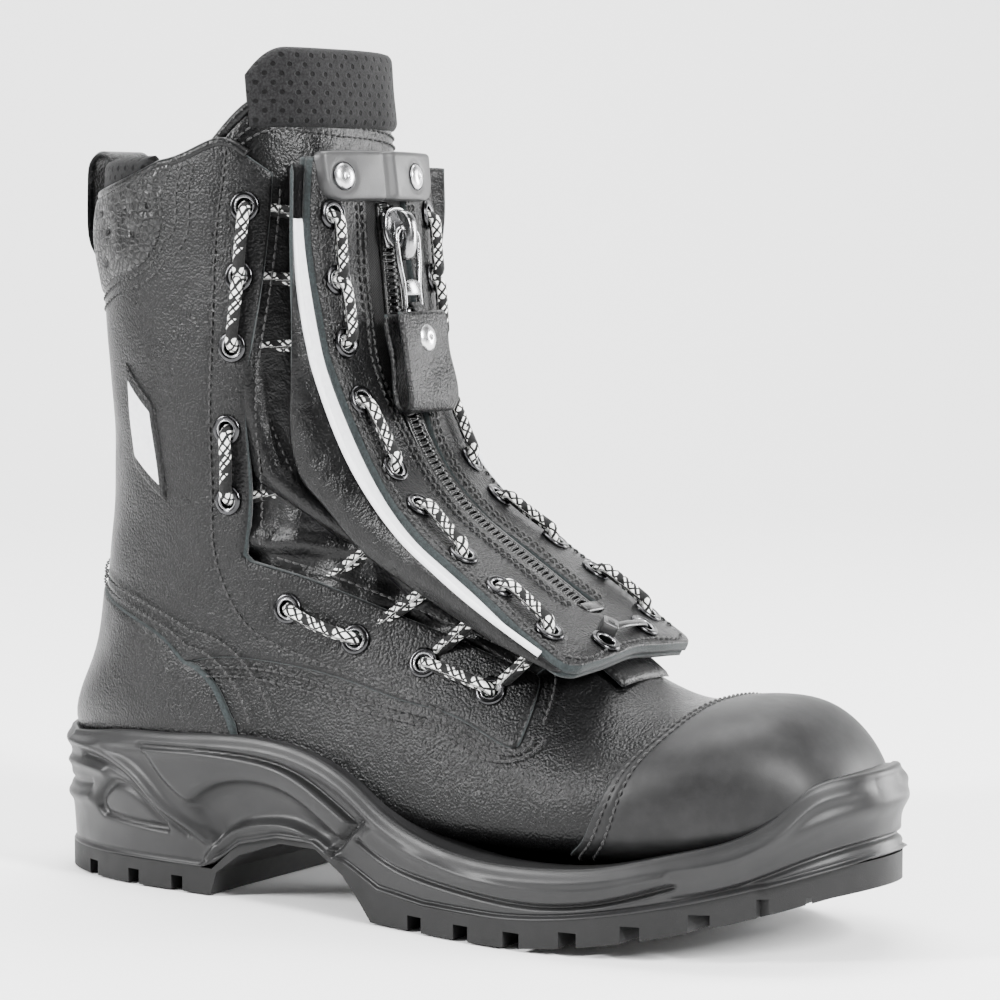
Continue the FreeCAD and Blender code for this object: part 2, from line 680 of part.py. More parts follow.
def skin_placement(x, z, sign, lift):
    """Placement on the outside of the upper at a side-view point, Z pointing outward."""
    skin = last(size("overlay") + 0.1)
    reach = Part.makeLine(Vector(x, 5 * sign, z), Vector(x, 90 * sign, z))
    crossing = reach.common(skin)
    y = max(abs(v.Y) for v in crossing.Vertexes) * sign
    face_normals = []
    for step_x, step_z in ((1.5, 0), (0, 1.5)):
        near = reach.translated(Vector(step_x, 0, step_z)).common(skin)
        far = reach.translated(Vector(-step_x, 0, -step_z)).common(skin)
        y_near = max(abs(v.Y) for v in near.Vertexes) * sign
        y_far = max(abs(v.Y) for v in far.Vertexes) * sign
        face_normals.append(Vector(2 * step_x, y_near - y_far, 2 * step_z))
    normal = face_normals[0].cross(face_normals[1]).normalize()
    if normal.y * sign < 0:
        normal = normal * -1
    turn = Rotation(Vector(0, 0, 1), normal)
    return Placement(Vector(x, y, z) + normal * lift, turn)


def ring_node(name, placements):
    """One node holding an eyelet ring at each placement."""
    rings = []
    for placement in placements:
        ring = eyelet_ring()
        ring.Placement = placement
        rings.append(ring)
    return feature(name, Part.makeCompound(rings))


def make_eyelets():
    """Insert eyelets and quarter eyelets on both sides."""
    made = []
    for side, sign in SIDES:
        places = [zip_placement(s, sign * y, 0.05) for s, y in EYELET_RUNS + [END_EYELET]]
        made.append(ring_node("insert_eyelets_" + side, places))
        places = [skin_placement(x, z, sign, 0.05) for x, z in QUARTER_EYELETS + INSTEP_EYELETS]
        made.append(ring_node("quarter_eyelets_" + side, places))
    return made


# Which neighbouring eyelets a visible lace stretch joins, and where it crosses the open gap:
# quarter edge point (x, y, z) and run and side of the insert's edge.
LACED = ((0, 1), (1, 2), (3, 4), (5, 6), (7, 8))
CROSSINGS = [((-47, 38, 233), 22, 45), ((-49, 39.5, 208), 46, 45), ((-52, 41, 190), 66, 46),
             ((-54, 41, 168), 82, 46), ((-55, 41, 131), 106, 46), ((-38, 39.5, 113), 120, 46),
             ((-10, 33.5, 104.5), 143, 46), ((22, 30, 94), 172, 46)]


def make_laces():
    """The lace stretches that lie over the facings and over the insert."""
    made = []
    lift = size("eyelet_rise") + size("lace") / 2 + 0.4
    for side, sign in SIDES:
        runs = []
        places = QUARTER_EYELETS + INSTEP_EYELETS
        for first, second in LACED:
            ends = [skin_placement(x, z, sign, lift).Base for x, z in (places[first],
                                                                       places[second])]
            runs += stretch_between(ends)
        for first, second in LACED:
            ends = [zip_placement(EYELET_RUNS[n][0], sign * EYELET_RUNS[n][1], lift).Base
                    for n in (first, second)]
            runs += stretch_between(ends)
        for (x, y, z), s, edge in CROSSINGS:
            runs += stretch_between([Vector(x, sign * y, z), on_zip(s, sign * edge, -3.0)])
        made.append(feature("lace_" + side, solids_of(Part.makeCompound(runs))))
    return made


def stretch_between(ends):
    """A straight lace stretch that stops short of the eyelet centres."""
    first, second = ends
    run = second - first
    inset = run.normalize() * 2.2
    return [Part.makeCylinder(size("lace") / 2, (second - first).Length - 4.4, first + inset,
                              second - first)]


def make_cable_tie():
    """Tie that closes the lower end of the insert."""
    s, y = END_EYELET
    lift = size("eyelet_rise") + 1.2
    head = Part.makeBox(7, 6.5, 3.4, Vector(-3.5, -3.25, 0))
    head.Placement = zip_placement(s - 1.5, -4, lift)
    tail = Part.makeBox(2.6, y + 4, 1.3, Vector(-1.3, -y - 4, 0.8))
    tail.Placement = zip_placement(s - 1.5, 0, lift)
    return feature("cable_tie", solids_of(head.fuse(tail)))


# ---------------------------------------------------------------- clips and rivets
CLIP_RUN = 8.6
CLIP_GAP = 0.6
CLIP_RIVET_Y = 21.0   # distance of each rivet from the middle of the closed clip
CLIP_SHIFT = 4.0      # how far the closed clip sits to the outer side of the zip


def make_clips():
    """Two plastic halves that lock the zip's top end, and their rivets."""
    made = []
    for side, sign in SIDES:
        owner = body("clip_" + side)
        sketch = sketch_on(owner, "XY_Plane", "clip_sketch_" + side)
        half = size("clip_height") / 2
        inner = CLIP_SHIFT - CLIP_GAP * sign
        outer = CLIP_SHIFT - (CLIP_GAP + size("clip_width")) * sign
        draw_polygon(sketch, [(-half, inner), (half, inner), (half, outer), (-half, outer)])
        clip_pad = pad(owner, sketch, "clip_pad_" + side, "Sizes.clip_depth")
        DOC.recompute()
        top_edges = [name for name, edge in named_edges(clip_pad)
                     if edge.BoundBox.ZMin > size("clip_depth") - 0.01]
        rounding = owner.newObject("PartDesign::Fillet", "clip_rounding_" + side)
        rounding.Base = (clip_pad, top_edges)
        rounding.Radius = 1.8
        owner.Placement = zip_placement(CLIP_RUN, 0, 0.2)
        made.append(owner)
    heads = []
    for sign in (-1, 1):
        head = Part.makeSphere(size("rivet_radius"))
        flat = Part.makeBox(20, 20, 20, Vector(-10, -10, -20))
        head = head.cut(flat)
        squeeze = FreeCAD.Matrix()
        squeeze.scale(1, 1, 0.35)
        head = head.transformGeometry(squeeze)
        head.Placement = zip_placement(CLIP_RUN, CLIP_SHIFT + sign * CLIP_RIVET_Y, 0.2 + size("clip_depth"))
        heads.append(head)
    made.append(feature("clip_rivets", Part.makeCompound(heads)))
    return made


def named_edges(item):
    """Edge names of a feature with their edges."""
    return [("Edge%d" % (n + 1), edge) for n, edge in enumerate(item.Shape.Edges)]


# ---------------------------------------------------------------- slider and puller
SLIDER_RUN = 27.0
BAIL_HEIGHT = 6.4


def make_slider():
    """Zip slider: a top and a bottom plate joined by the centre post, with a bail."""
    half_l = size("slider_length") / 2
    half_w = size("slider_width") / 2
    play = size("slider_play")
    chain_mid = 0.6
    top_low = chain_mid + size("chain_rise") + play
    parts = [Part.makeBox(2 * half_l, 2 * half_w, 1.2, Vector(-half_l, -half_w, top_low))]
    for sign in (-1, 1):
        edge = half_w - 0.9 if sign > 0 else -half_w
        parts.append(Part.makeBox(2 * half_l, 0.9, top_low - 0.5 + 0.1, Vector(-half_l, edge, 0.5)))
    ear = Part.makeBox(9, 1.2, BAIL_HEIGHT - top_low + 1.4, Vector(-4.5, -0.6, top_low + 0.6))
    ear = ear.cut(Part.makeCylinder(1.7, 4, Vector(0, -2, BAIL_HEIGHT), Vector(0, 1, 0)))
    parts.append(ear)
    post = Part.makeBox(2.0, 0.8, top_low + 1.0, Vector(half_l - 3, -0.4, -0.6))
    parts.append(post)
    shape = parts[0].fuse(parts[1:])
    return feature("zip_slider", solids_of(shape), zip_placement(SLIDER_RUN, 0))


BAR = 1.6          # width of the puller's bar in the bail
END_BAR = 2.2      # width of the bar that the strap hangs from
EYE_LENGTH = 4.5   # length of the strap's eye


def make_puller():
    """Metal puller: a bar through the bail, two prongs and an eye for the strap."""
    gauge = size("puller_gauge")
    length = size("puller_length")
    half = size("puller_width") / 2
    top = BAR / 2
    plate = Part.makeBox(length, 2 * half, gauge, Vector(top - length, -half, -gauge / 2))
    eye_start = top - length + END_BAR
    eye = Part.makeBox(EYE_LENGTH, 7.2, 2 * gauge, Vector(eye_start, -3.6, -gauge))
    window_start = eye_start + EYE_LENGTH + 2.0
    window = Part.makeBox(-top - window_start, 4.8, 2 * gauge, Vector(window_start, -2.4, -gauge))
    shape = plate.cut([window, eye])
    corners = [edge for edge in shape.Edges
               if abs(edge.tangentAt(edge.FirstParameter).z) > 0.9
               and abs(abs(edge.CenterOfMass.y) - half) < 0.01]
    shape = shape.makeFillet(0.7, corners)
    return feature("zip_puller", solids_of(shape), zip_placement(SLIDER_RUN, 0, BAIL_HEIGHT))


LOOP_BORE = 1.5     # inner radius of the strap's loop round the puller's end bar
NECK_HALF = 3.1     # half width of the strap where it passes the eye
STRAP_LEAN = -10.5   # how far the strap's lower end stands out from the zip, in degrees
STRAP_RIVET = 19.0  # how far the strap's rivet lies below its loop


def make_strap():
    """Folded leather strap that hangs from the puller's end bar, with its rivet."""
    width = size("strap_width")
    leather = size("strap_leather")
    length = size("strap_length")
    outer_r = LOOP_BORE + leather
    flank = [(0, outer_r), (-12, leather + 0.1), (-length, leather + 0.1),
             (-length, -leather - 0.1), (-12, -leather - 0.1), (0, -outer_r)]
    low = -width / 2
    band = side_prism(flank, low, -low)
    band = band.fuse(Part.makeCylinder(outer_r, width, Vector(0, low, 0), Vector(0, 1, 0)))
    hollow = side_prism([(0, LOOP_BORE), (-10, 0.1), (-10, -0.1), (0, -LOOP_BORE)], low, -low)
    hollow = hollow.fuse(Part.makeCylinder(LOOP_BORE, width, Vector(0, low, 0), Vector(0, 1, 0)))
    band = band.cut(hollow)
    notches = [Part.makeBox(12, width, 12, Vector(-7, edge, -6))
               for edge in (NECK_HALF, -width - NECK_HALF)]
    band = band.cut(notches)
    bar_centre = (BAR + END_BAR) / 2 - size("puller_length")
    base = zip_placement(SLIDER_RUN, 0, BAIL_HEIGHT)
    hang = Placement(Vector(bar_centre, 0, 0), Rotation(Vector(0, 1, 0), -STRAP_LEAN))
    here = base.multiply(hang)
    strap = feature("puller_strap", solids_of(band), here)
    face = leather + 0.12
    head = Part.makeCylinder(size("rivet_radius"), 1.2, Vector(-STRAP_RIVET, 0, face))
    back = Part.makeCylinder(size("rivet_radius") * 0.8, 0.8, Vector(-STRAP_RIVET, 0, -face - 0.8))
    rivet = feature("strap_rivet", Part.makeCompound([head, back]), here)
    return [strap, rivet]


def make_throat_tab(under):
    """Small folded leather tab under the front end of the insert, lying on the leather below."""
    shape = Part.makeBox(24, 30, 3.0, Vector(-12, -15, -3.0))
    shape.Placement = zip_placement(205, 0, -size("insert_leather") - 2.8)
    for item in under:
        shape = shape.cut(item.Shape)
    return feature("throat_tab", max(shape.Solids, key=lambda solid: solid.Volume))


# ---------------------------------------------------------------- assembly
NODES = [make_outsole(), make_midsole(), make_shank()]
NODES += make_bottom_boards()
NODES += [make_footbed()]
NODES += make_leather()
NODES += [make_toe_cover()]
NODES += make_facings()
NODES += make_inner_layers()
NODES += make_lining()
NODES += make_collar_patches()
NODES += [make_pull_loop()]
NODES += make_insert()
NODES += make_zip()
NODES += make_eyelets()
NODES += make_laces()
NODES += [make_cable_tie()]
NODES += make_clips()
NODES += [make_slider(), make_puller()]
NODES += make_strap()
NODES += [make_throat_tab([n for n in NODES if n.Label in ("vamp", "tongue")])]

DOC.recompute()
for item in DOC.Objects:
    if "Invalid" in item.State or "Error" in item.State:
        raise RuntimeError("%s failed: %s" % (item.Label, item.State))
for node in NODES:
    if node.Shape.isNull() or not node.Shape.isValid():
        raise RuntimeError("%s has no sound shape" % node.Label)
    box = node.Shape.optimalBoundingBox(True, False)
    print("%-28s solids %d vol %8.0f  x %.1f %.1f y %.1f %.1f z %.1f %.1f" % (
        node.Label, len(node.Shape.Solids), node.Shape.Volume, box.XMin, box.XMax,
        box.YMin, box.YMax, box.ZMin, box.ZMax))

os.makedirs("parts", exist_ok=True)
for node in NODES:
    node.Shape.exportStep("parts/%s.step" % node.Label)
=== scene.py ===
import json
import math

import bpy
import bmesh
import numpy as np
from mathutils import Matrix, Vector, geometry
from mathutils.kdtree import KDTree

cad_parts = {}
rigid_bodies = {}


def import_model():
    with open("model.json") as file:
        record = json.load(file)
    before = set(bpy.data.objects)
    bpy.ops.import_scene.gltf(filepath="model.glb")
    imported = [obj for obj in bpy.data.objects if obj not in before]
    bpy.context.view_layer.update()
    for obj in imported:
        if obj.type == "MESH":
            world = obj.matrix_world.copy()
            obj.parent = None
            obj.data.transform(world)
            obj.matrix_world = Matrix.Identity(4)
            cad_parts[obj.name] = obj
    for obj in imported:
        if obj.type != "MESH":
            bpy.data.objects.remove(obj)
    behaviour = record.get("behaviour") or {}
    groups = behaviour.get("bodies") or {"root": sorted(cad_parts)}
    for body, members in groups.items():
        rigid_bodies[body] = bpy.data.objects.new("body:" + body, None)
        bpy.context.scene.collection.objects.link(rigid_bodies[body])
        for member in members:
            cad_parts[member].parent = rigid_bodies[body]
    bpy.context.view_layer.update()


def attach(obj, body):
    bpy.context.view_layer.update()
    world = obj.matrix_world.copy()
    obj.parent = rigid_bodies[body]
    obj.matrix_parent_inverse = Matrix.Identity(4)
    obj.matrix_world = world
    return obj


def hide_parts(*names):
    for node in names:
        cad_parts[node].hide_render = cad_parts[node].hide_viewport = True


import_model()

# The boot is drawn in millimetres: +X to the toe, -Y to the outer (lateral) side, +Z up.
MM = 0.001


# ---------------------------------------------------------------- curves

def smooth(points, step=1.2):
    """A natural spline through the points, as evenly spaced samples."""
    p = np.array(points, float)
    if len(p) > 2:
        d = np.r_[0, np.cumsum(np.linalg.norm(np.diff(p, axis=0), axis=1))]
        n = len(p)
        h = np.diff(d)
        left = np.eye(n)
        right = np.zeros_like(p)
        for i in range(1, n - 1):
            left[i, i - 1:i + 2] = h[i - 1], 2 * (h[i - 1] + h[i]), h[i]
            right[i] = 6 * ((p[i + 1] - p[i]) / h[i] - (p[i] - p[i - 1]) / h[i - 1])
        m = np.linalg.solve(left, right)
        x = np.linspace(0, d[-1], max(60, int(d[-1] / 0.4)))
        i = np.clip(np.searchsorted(d, x, side="right") - 1, 0, n - 2)
        a = ((d[i + 1] - x) / h[i])[:, None]
        b = 1 - a
        w = (h[i] ** 2 / 6)[:, None]
        p = a * p[i] + b * p[i + 1] + ((a ** 3 - a) * m[i] + (b ** 3 - b) * m[i + 1]) * w
    run = np.r_[0, np.cumsum(np.linalg.norm(np.diff(p, axis=0), axis=1))]
    count = max(2, int(round(run[-1] / step)) + 1)
    x = np.linspace(0, run[-1], count)
    return np.stack([np.interp(x, run, p[:, k]) for k in range(p.shape[1])], 1)


def closed(runs, step=1.2):
    """A closed outline of smooth runs that meet at corners."""
    parts = []
    for k, run in enumerate(runs):
        piece = smooth(run, step)
        start = np.array(runs[(k + 1) % len(runs)][0], float)
        if np.linalg.norm(piece[-1] - start) > 1e-6:
            bridge = smooth([piece[-1], start], step)
            piece = np.concatenate([piece, bridge[1:]])
        parts.append(piece[:-1])
    return np.concatenate(parts)


def inside(p, loop):
    """Which points lie inside a closed loop."""
    a = loop
    b = np.roll(loop, -1, axis=0)
    result = np.zeros(len(p), bool)
    for (x1, y1), (x2, y2) in zip(a, b):
        if y1 == y2:
            continue
        hit = ((y1 > p[:, 1]) != (y2 > p[:, 1]))
        hit &= p[:, 0] < (x2 - x1) * (p[:, 1] - y1) / (y2 - y1) + x1
        result ^= hit
    return result


def distance(p, line, is_closed=True):
    """Distance of each point from a polyline."""
    a = line if is_closed else line[:-1]
    b = np.roll(line, -1, axis=0) if is_closed else line[1:]
    best = np.full(len(p), 1e9)
    for q, r in zip(a, b):
        e = r - q
        u = np.clip(((p - q) @ e) / max(e @ e, 1e-12), 0, 1)
        best = np.minimum(best, np.linalg.norm(p - q - u[:, None] * e, axis=1))
    return best


# ---------------------------------------------------------------- the foot

class Stations:
    """A natural spline through rows of numbers at 0, 1, 2, ..."""

    def __init__(self, rows):
        self.r = np.array(rows, float)
        n = len(rows)
        left = np.eye(n)
        right = np.zeros_like(self.r)
        for i in range(1, n - 1):
            left[i, i - 1:i + 2] = 1, 4, 1
            right[i] = 6 * (self.r[i + 1] - 2 * self.r[i] + self.r[i - 1])
        self.m = np.linalg.solve(left, right)
        self.last = n - 1

    def __call__(self, t):
        t = np.clip(t, 0, self.last)
        i = np.minimum(np.floor(t).astype(int), self.last - 1)
        b = (t - i)[..., None]
        a = 1 - b
        bend = (a ** 3 - a) * self.m[i] + (b ** 3 - b) * self.m[i + 1]
        return a * self.r[i] + b * self.r[i + 1] + bend / 6


# Centre line of the zip in the XZ plane: down the shin, round the instep, along the foot.
ZIP_TOP = np.array([-34.0, 252.0])
ZIP_CORNER = np.array([-22.5, 146.4])
ZIP_END = np.array([67.0, 89.7])
ZIP_BEND = 85.0
SHIN = (ZIP_CORNER - ZIP_TOP) / np.linalg.norm(ZIP_CORNER - ZIP_TOP)
FOOT = (ZIP_END - ZIP_CORNER) / np.linalg.norm(ZIP_END - ZIP_CORNER)
TURN = math.acos(float(SHIN @ FOOT))
TANGENT = ZIP_BEND * math.tan(TURN / 2)
SHIN_RUN = np.linalg.norm(ZIP_CORNER - ZIP_TOP) - TANGENT
BEND_RUN = ZIP_BEND * TURN
SHIN_OUT = np.array([-SHIN[1], SHIN[0]])
BEND_START = ZIP_CORNER - SHIN * TANGENT
BEND_CENTRE = BEND_START + SHIN_OUT * ZIP_BEND


def zip_line(s):
    """Points and outward normals of the zip's centre line."""
    s = np.asarray(s, float)
    angle = np.clip((s - SHIN_RUN) / ZIP_BEND, 0, TURN)
    ca = np.cos(angle)
    sa = np.sin(angle)
    out = np.stack([SHIN_OUT[0] * ca - SHIN_OUT[1] * sa, SHIN_OUT[0] * sa + SHIN_OUT[1] * ca], -1)
    point = BEND_CENTRE - out * ZIP_BEND
    point = point + np.minimum(s - SHIN_RUN, 0)[..., None] * SHIN
    point = point + np.maximum(s - SHIN_RUN - BEND_RUN, 0)[..., None] * FOOT
    return point, out


ZIP_RAISE = 2.5
INSTEP_DROP = 5.8
FRONT_RUNS = [-48, 0, 27, 57, 84, 108, 128, 147, 165, 182, 198]
# Back point x and z, half width, widest place, front and back roundness of each section.
ANKLE_ROWS = [
    (-141, 300, 46, .50, 3.0, 2.1), (-141, 248, 46, .50, 3.0, 2.1), (-141, 222, 46, .50, 3.0, 2.1),
    (-138, 192, 45.5, .50, 3.0, 2.1), (-137, 162, 44, .50, 2.9, 2.1), (-139, 131, 42, .50, 2.7, 2.1),
    (-143, 101, 41, .54, 2.5, 2.1), (-149, 72, 41, .58, 2.4, 2.2), (-151, 46, 42, .62, 2.3, 2.4),
    (-102, 33, 43, .66, 2.2, 2.6), (-56, 29, 45, .70, 2.2, 2.8),
]
# Top x and z, bottom x and z, half width, widest place, roundness and centre y of each section.
TOE_ROWS = [
    (75, 79.5, -2, 25, 48, .70, 2.1, 3, 1), (89, 75, 45, 24, 51, .68, 2.1, 3, 2),
    (103, 76, 86, 25, 51, .66, 2.2, 3, 3), (116, 77, 113, 28, 47, .64, 2.3, 3, 3.5),
    (128, 75, 132, 32, 39, .62, 2.4, 2.8, 4), (139, 68, 146, 37, 28, .60, 2.4, 2.6, 4),
    (147, 59, 151, 43, 16, .56, 2.2, 2.2, 4), (151, 51, 152, 48, 4, .5, 2, 2, 4),
]


def foot_rows():
    """All the sections from above the collar to the toe tip."""
    rows = []
    for s, back in zip(FRONT_RUNS, ANKLE_ROWS):
        point, out = zip_line(s)
        front = point - out * INSTEP_DROP
        rows.append((front[0], front[1]) + back + (0.0,))
    return rows + list(TOE_ROWS)


FOOT_SECTIONS = Stations(foot_rows())


def ripple(p, seed, sizes=(18, 55), count=14):
    """Soft waves over the leather, between -1 and 1."""
    local = np.random.default_rng(seed)
    total = np.zeros(len(p))
    for _ in range(count):
        direction = local.normal(size=3)
        direction /= np.linalg.norm(direction)
        wave = 2 * math.pi / local.uniform(*sizes)
        total += np.sin(p @ direction * wave + local.uniform(0, 6.28))
    return total / math.sqrt(count * 1.5)


def foot_point(t, phi, off=0.0, waves=0.35):
    """Point on the upper: t runs from collar to toe, phi in degrees from the front to the lateral side."""
    t, phi, off = np.broadcast_arrays(np.asarray(t, float), np.asarray(phi, float), np.asarray(off, float))
    row = FOOT_SECTIONS(t)
    fx, fz, bx, bz, half, mid, e1, e2, yc = [row[..., k] for k in range(9)]
    c = np.cos(np.radians(phi))
    s = np.sin(np.radians(phi))
    length = np.hypot(bx - fx, bz - fz)
    dx = (bx - fx) / length
    dz = (bz - fz) / length
    e = np.where(c >= 0, e1, e2)
    sa = np.abs(s) ** (2 / e)
    ca = np.abs(c) ** (2 / e)

    def at(grow):
        deep = np.where(c >= 0, mid * length * (1 - ca) - grow * ca,
                        mid * length + (1 - mid) * length * ca + grow * ca)
        across = (half + grow) * sa * -np.sign(s)
        push = grow * np.clip((fx - 103) / 48, 0, 1)
        return np.stack([fx + dx * deep + push, yc + across, fz + dz * deep], -1)

    if waves:
        base = at(0.0 * off)
        shape = base.shape[:-1]
        wave = ripple(base.reshape(-1, 3), 3).reshape(shape) * waves
        fade = np.clip((12.6 - t) / 1.5, 0.25, 1)
        off = off + wave * fade
    return at(off)


T_MM = 25.0
PHI_MM = 0.785


def to_flat(points):
    """Outline points given as (t, phi) to the flat pattern, which is about true size in mm."""
    return [(t * T_MM, phi * PHI_MM) for t, phi in points]


def lateral(flat, off):
    """Flat pattern to the lateral side."""
    return foot_point(flat[:, 0] / T_MM, flat[:, 1] / PHI_MM, off)


def medial(flat, off):
    """Flat pattern to the medial side, mirrored."""
    return foot_point(flat[:, 0] / T_MM, -flat[:, 1] / PHI_MM, off)


def crown(s):
    """How strongly the insert bends across its width."""
    return 0.0045 - 0.0022 * np.clip((s - 70) / 80, 0, 1)


def zip_point(s, y, off=0.0):
    """Point over the zip insert: s along it from the top, y across, off above its face."""
    s, y, off = np.broadcast_arrays(np.asarray(s, float), np.asarray(y, float), np.asarray(off, float))
    point, out = zip_line(s)
    height = (off + ZIP_RAISE - crown(s) * y * y)[..., None]
    place = point + out * height
    return np.stack([place[..., 0], y, place[..., 1]], -1)


def insert(flat, off):
    return zip_point(flat[:, 0], flat[:, 1], off)


# ---------------------------------------------------------------- meshes

def make_object(name, points, faces, materials, body="boot", face_materials=None, uv=None,
                slot=None, stands_for=(), soft=True):
    """A mesh object in the row frame from points in mm."""
    mesh = bpy.data.meshes.new(name)
    pts = np.asarray(points, float) * MM
    faces = [tuple(int(i) for i in f) for f in faces]
    mesh.from_pydata([tuple(p) for p in pts], [], faces)
    for m in materials:
        mesh.materials.append(m)
    if face_materials is not None:
        mesh.polygons.foreach_set("material_index", np.asarray(face_materials, np.int32))
    if uv is not None:
        layer = mesh.uv_layers.new(name="UVMap")
        loops = np.zeros(len(mesh.loops), np.int32)
        mesh.loops.foreach_get("vertex_index", loops)
        layer.data.foreach_set("uv", np.asarray(uv, np.float32)[loops].ravel())
    mesh.polygons.foreach_set("use_smooth", np.full(len(mesh.polygons), soft))
    tidy = bmesh.new()
    tidy.from_mesh(mesh)
    bmesh.ops.recalc_face_normals(tidy, faces=tidy.faces)
    tidy.to_mesh(mesh)
    tidy.free()
    mesh.update()
    obj = bpy.data.objects.new(name, mesh)
    bpy.context.scene.collection.objects.link(obj)
    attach(obj, body)
    if stands_for:
        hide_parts(*stands_for)
    return obj


class Parts:
    """Gathers many small meshes into one object."""

    def __init__(self):
        self.points = []
        self.faces = []
        self.marks = []
        self.uv = []
        self.count = 0

    def add(self, points, faces, mark=0, uv=None):
        self.points.append(np.asarray(points, float))
        self.faces += [tuple(i + self.count for i in f) for f in faces]
        self.marks += [mark] * len(faces)
        self.uv.append(np.zeros((len(points), 2)) if uv is None else np.asarray(uv, float))
        self.count += len(points)

    def build(self, name, materials, **options):
        return make_object(name, np.concatenate(self.points), self.faces, materials,
                           face_materials=self.marks, uv=np.concatenate(self.uv), **options)


def rounded(d, radius):
    """Height of a rounded edge, from 0 at the rim to 1 inside."""
    return np.sqrt(np.clip(1 - (1 - np.clip(d / radius, 0, 1)) ** 2, 0, 1))


def panel(name, outline, place, thick, base, materials, slot, bevel=1.2, grid=2.4, holes=(),
          grooves=(), puff=0.0, puff_reach=6.0, skirt=0.5, stands_for=(), shape=None, body="boot"):
    """A leather panel cut to an outline on its surface, with thick rounded edges."""
    loops = [outline] + list(holes)
    spots = [outline]
    edges = []
    start = 0
    for k, loop in enumerate(loops):
        if k:
            spots.append(loop)
        n = len(loop)
        edges += [(start + i, start + (i + 1) % n) for i in range(n)]
        start += n

    def inward(loop, d):
        ahead = np.roll(loop, -1, axis=0) - np.roll(loop, 1, axis=0)
        side = np.stack([-ahead[:, 1], ahead[:, 0]], 1)
        side /= np.maximum(np.linalg.norm(side, axis=1), 1e-9)[:, None]
        return np.concatenate([loop + side * d, loop - side * d])

    rings = [0.12 * bevel, 0.4 * bevel, 1.0 * bevel]
    for d in rings:
        for loop in loops:
            both = inward(loop, d)
            both = both[inside(both, outline)]
            for hole in holes:
                both = both[~inside(both, hole)]
            away = np.min([distance(both, other) for other in loops], axis=0)
            spots.append(both[away > d * 0.93])
    for line, reach, depth in grooves:
        for d in (0, 0.6, 1.3):
            both = inward(line, d) if d else line
            both = both[inside(both, outline)]
            away = np.min([distance(both, other) for other in loops], axis=0)
            spots.append(both[away > bevel * 1.15])
    low = outline.min(0)
    high = outline.max(0)
    xs = np.arange(low[0], high[0], grid)
    ys = np.arange(low[1], high[1], grid * 0.87)
    gx, gy = np.meshgrid(xs, ys)
    gx = gx + (np.arange(len(ys)) % 2)[:, None] * grid / 2
    mesh_points = np.stack([gx.ravel(), gy.ravel()], 1)
    mesh_points = mesh_points[inside(mesh_points, outline)]
    for hole in holes:
        mesh_points = mesh_points[~inside(mesh_points, hole)]
    away = np.min([distance(mesh_points, other) for other in loops], axis=0)
    mesh_points = mesh_points[away > bevel + grid * 0.45]
    for line, reach, depth in grooves:
        mesh_points = mesh_points[distance(mesh_points, line, False) > 1.3 + grid * 0.35]
    spots.append(mesh_points)
    flat = np.concatenate(spots)
    found = geometry.delaunay_2d_cdt([Vector(p) for p in flat], edges, [], 0, 1e-5)
    flat = np.array([tuple(p) for p in found[0]])
    tris = np.array(found[2])
    centre = flat[tris].mean(1)
    keep = inside(centre, outline)
    for hole in holes:
        keep &= ~inside(centre, hole)
    tris = tris[keep]
    used = np.unique(tris)
    renumber = -np.ones(len(flat), int)
    renumber[used] = np.arange(len(used))
    flat = flat[used]
    tris = renumber[tris]
    away = np.min([distance(flat, loop) for loop in loops], axis=0)
    height = thick * rounded(away, bevel)
    if puff:
        height = height + puff * (1 - np.exp(-(away / puff_reach) ** 1.5))
    for line, reach, depth in grooves:
        d = distance(flat, line, False)
        height = height - depth * np.exp(-(d / reach) ** 2)
    if shape is not None:
        height = height + shape(flat)
    top = place(flat, base + height)
    low_side = place(flat, np.full(len(flat), base - skirt))
    n = len(flat)
    count = {}
    for tri in tris:
        for i in range(3):
            key = (tri[i], tri[(i + 1) % 3])
            count[key] = count.get(key, 0) + 1
    wall = [key for key in count if (key[1], key[0]) not in count]
    faces = [tuple(t) for t in tris] + [tuple(t[::-1] + n) for t in tris]
    faces += [(a, a + n, b + n, b) for a, b in wall]
    near = away[tris].mean(1) < bevel * 0.42
    marks = [int(v) for v in near] + [int(v) for v in near] + [1] * len(wall)
    if len(materials) == 1:
        marks = [0] * len(faces)
    return make_object(name, np.concatenate([top, low_side]), faces, materials, face_materials=marks,
                       uv=np.concatenate([flat, flat]) * 0.01, slot=slot, stands_for=stands_for, body=body)


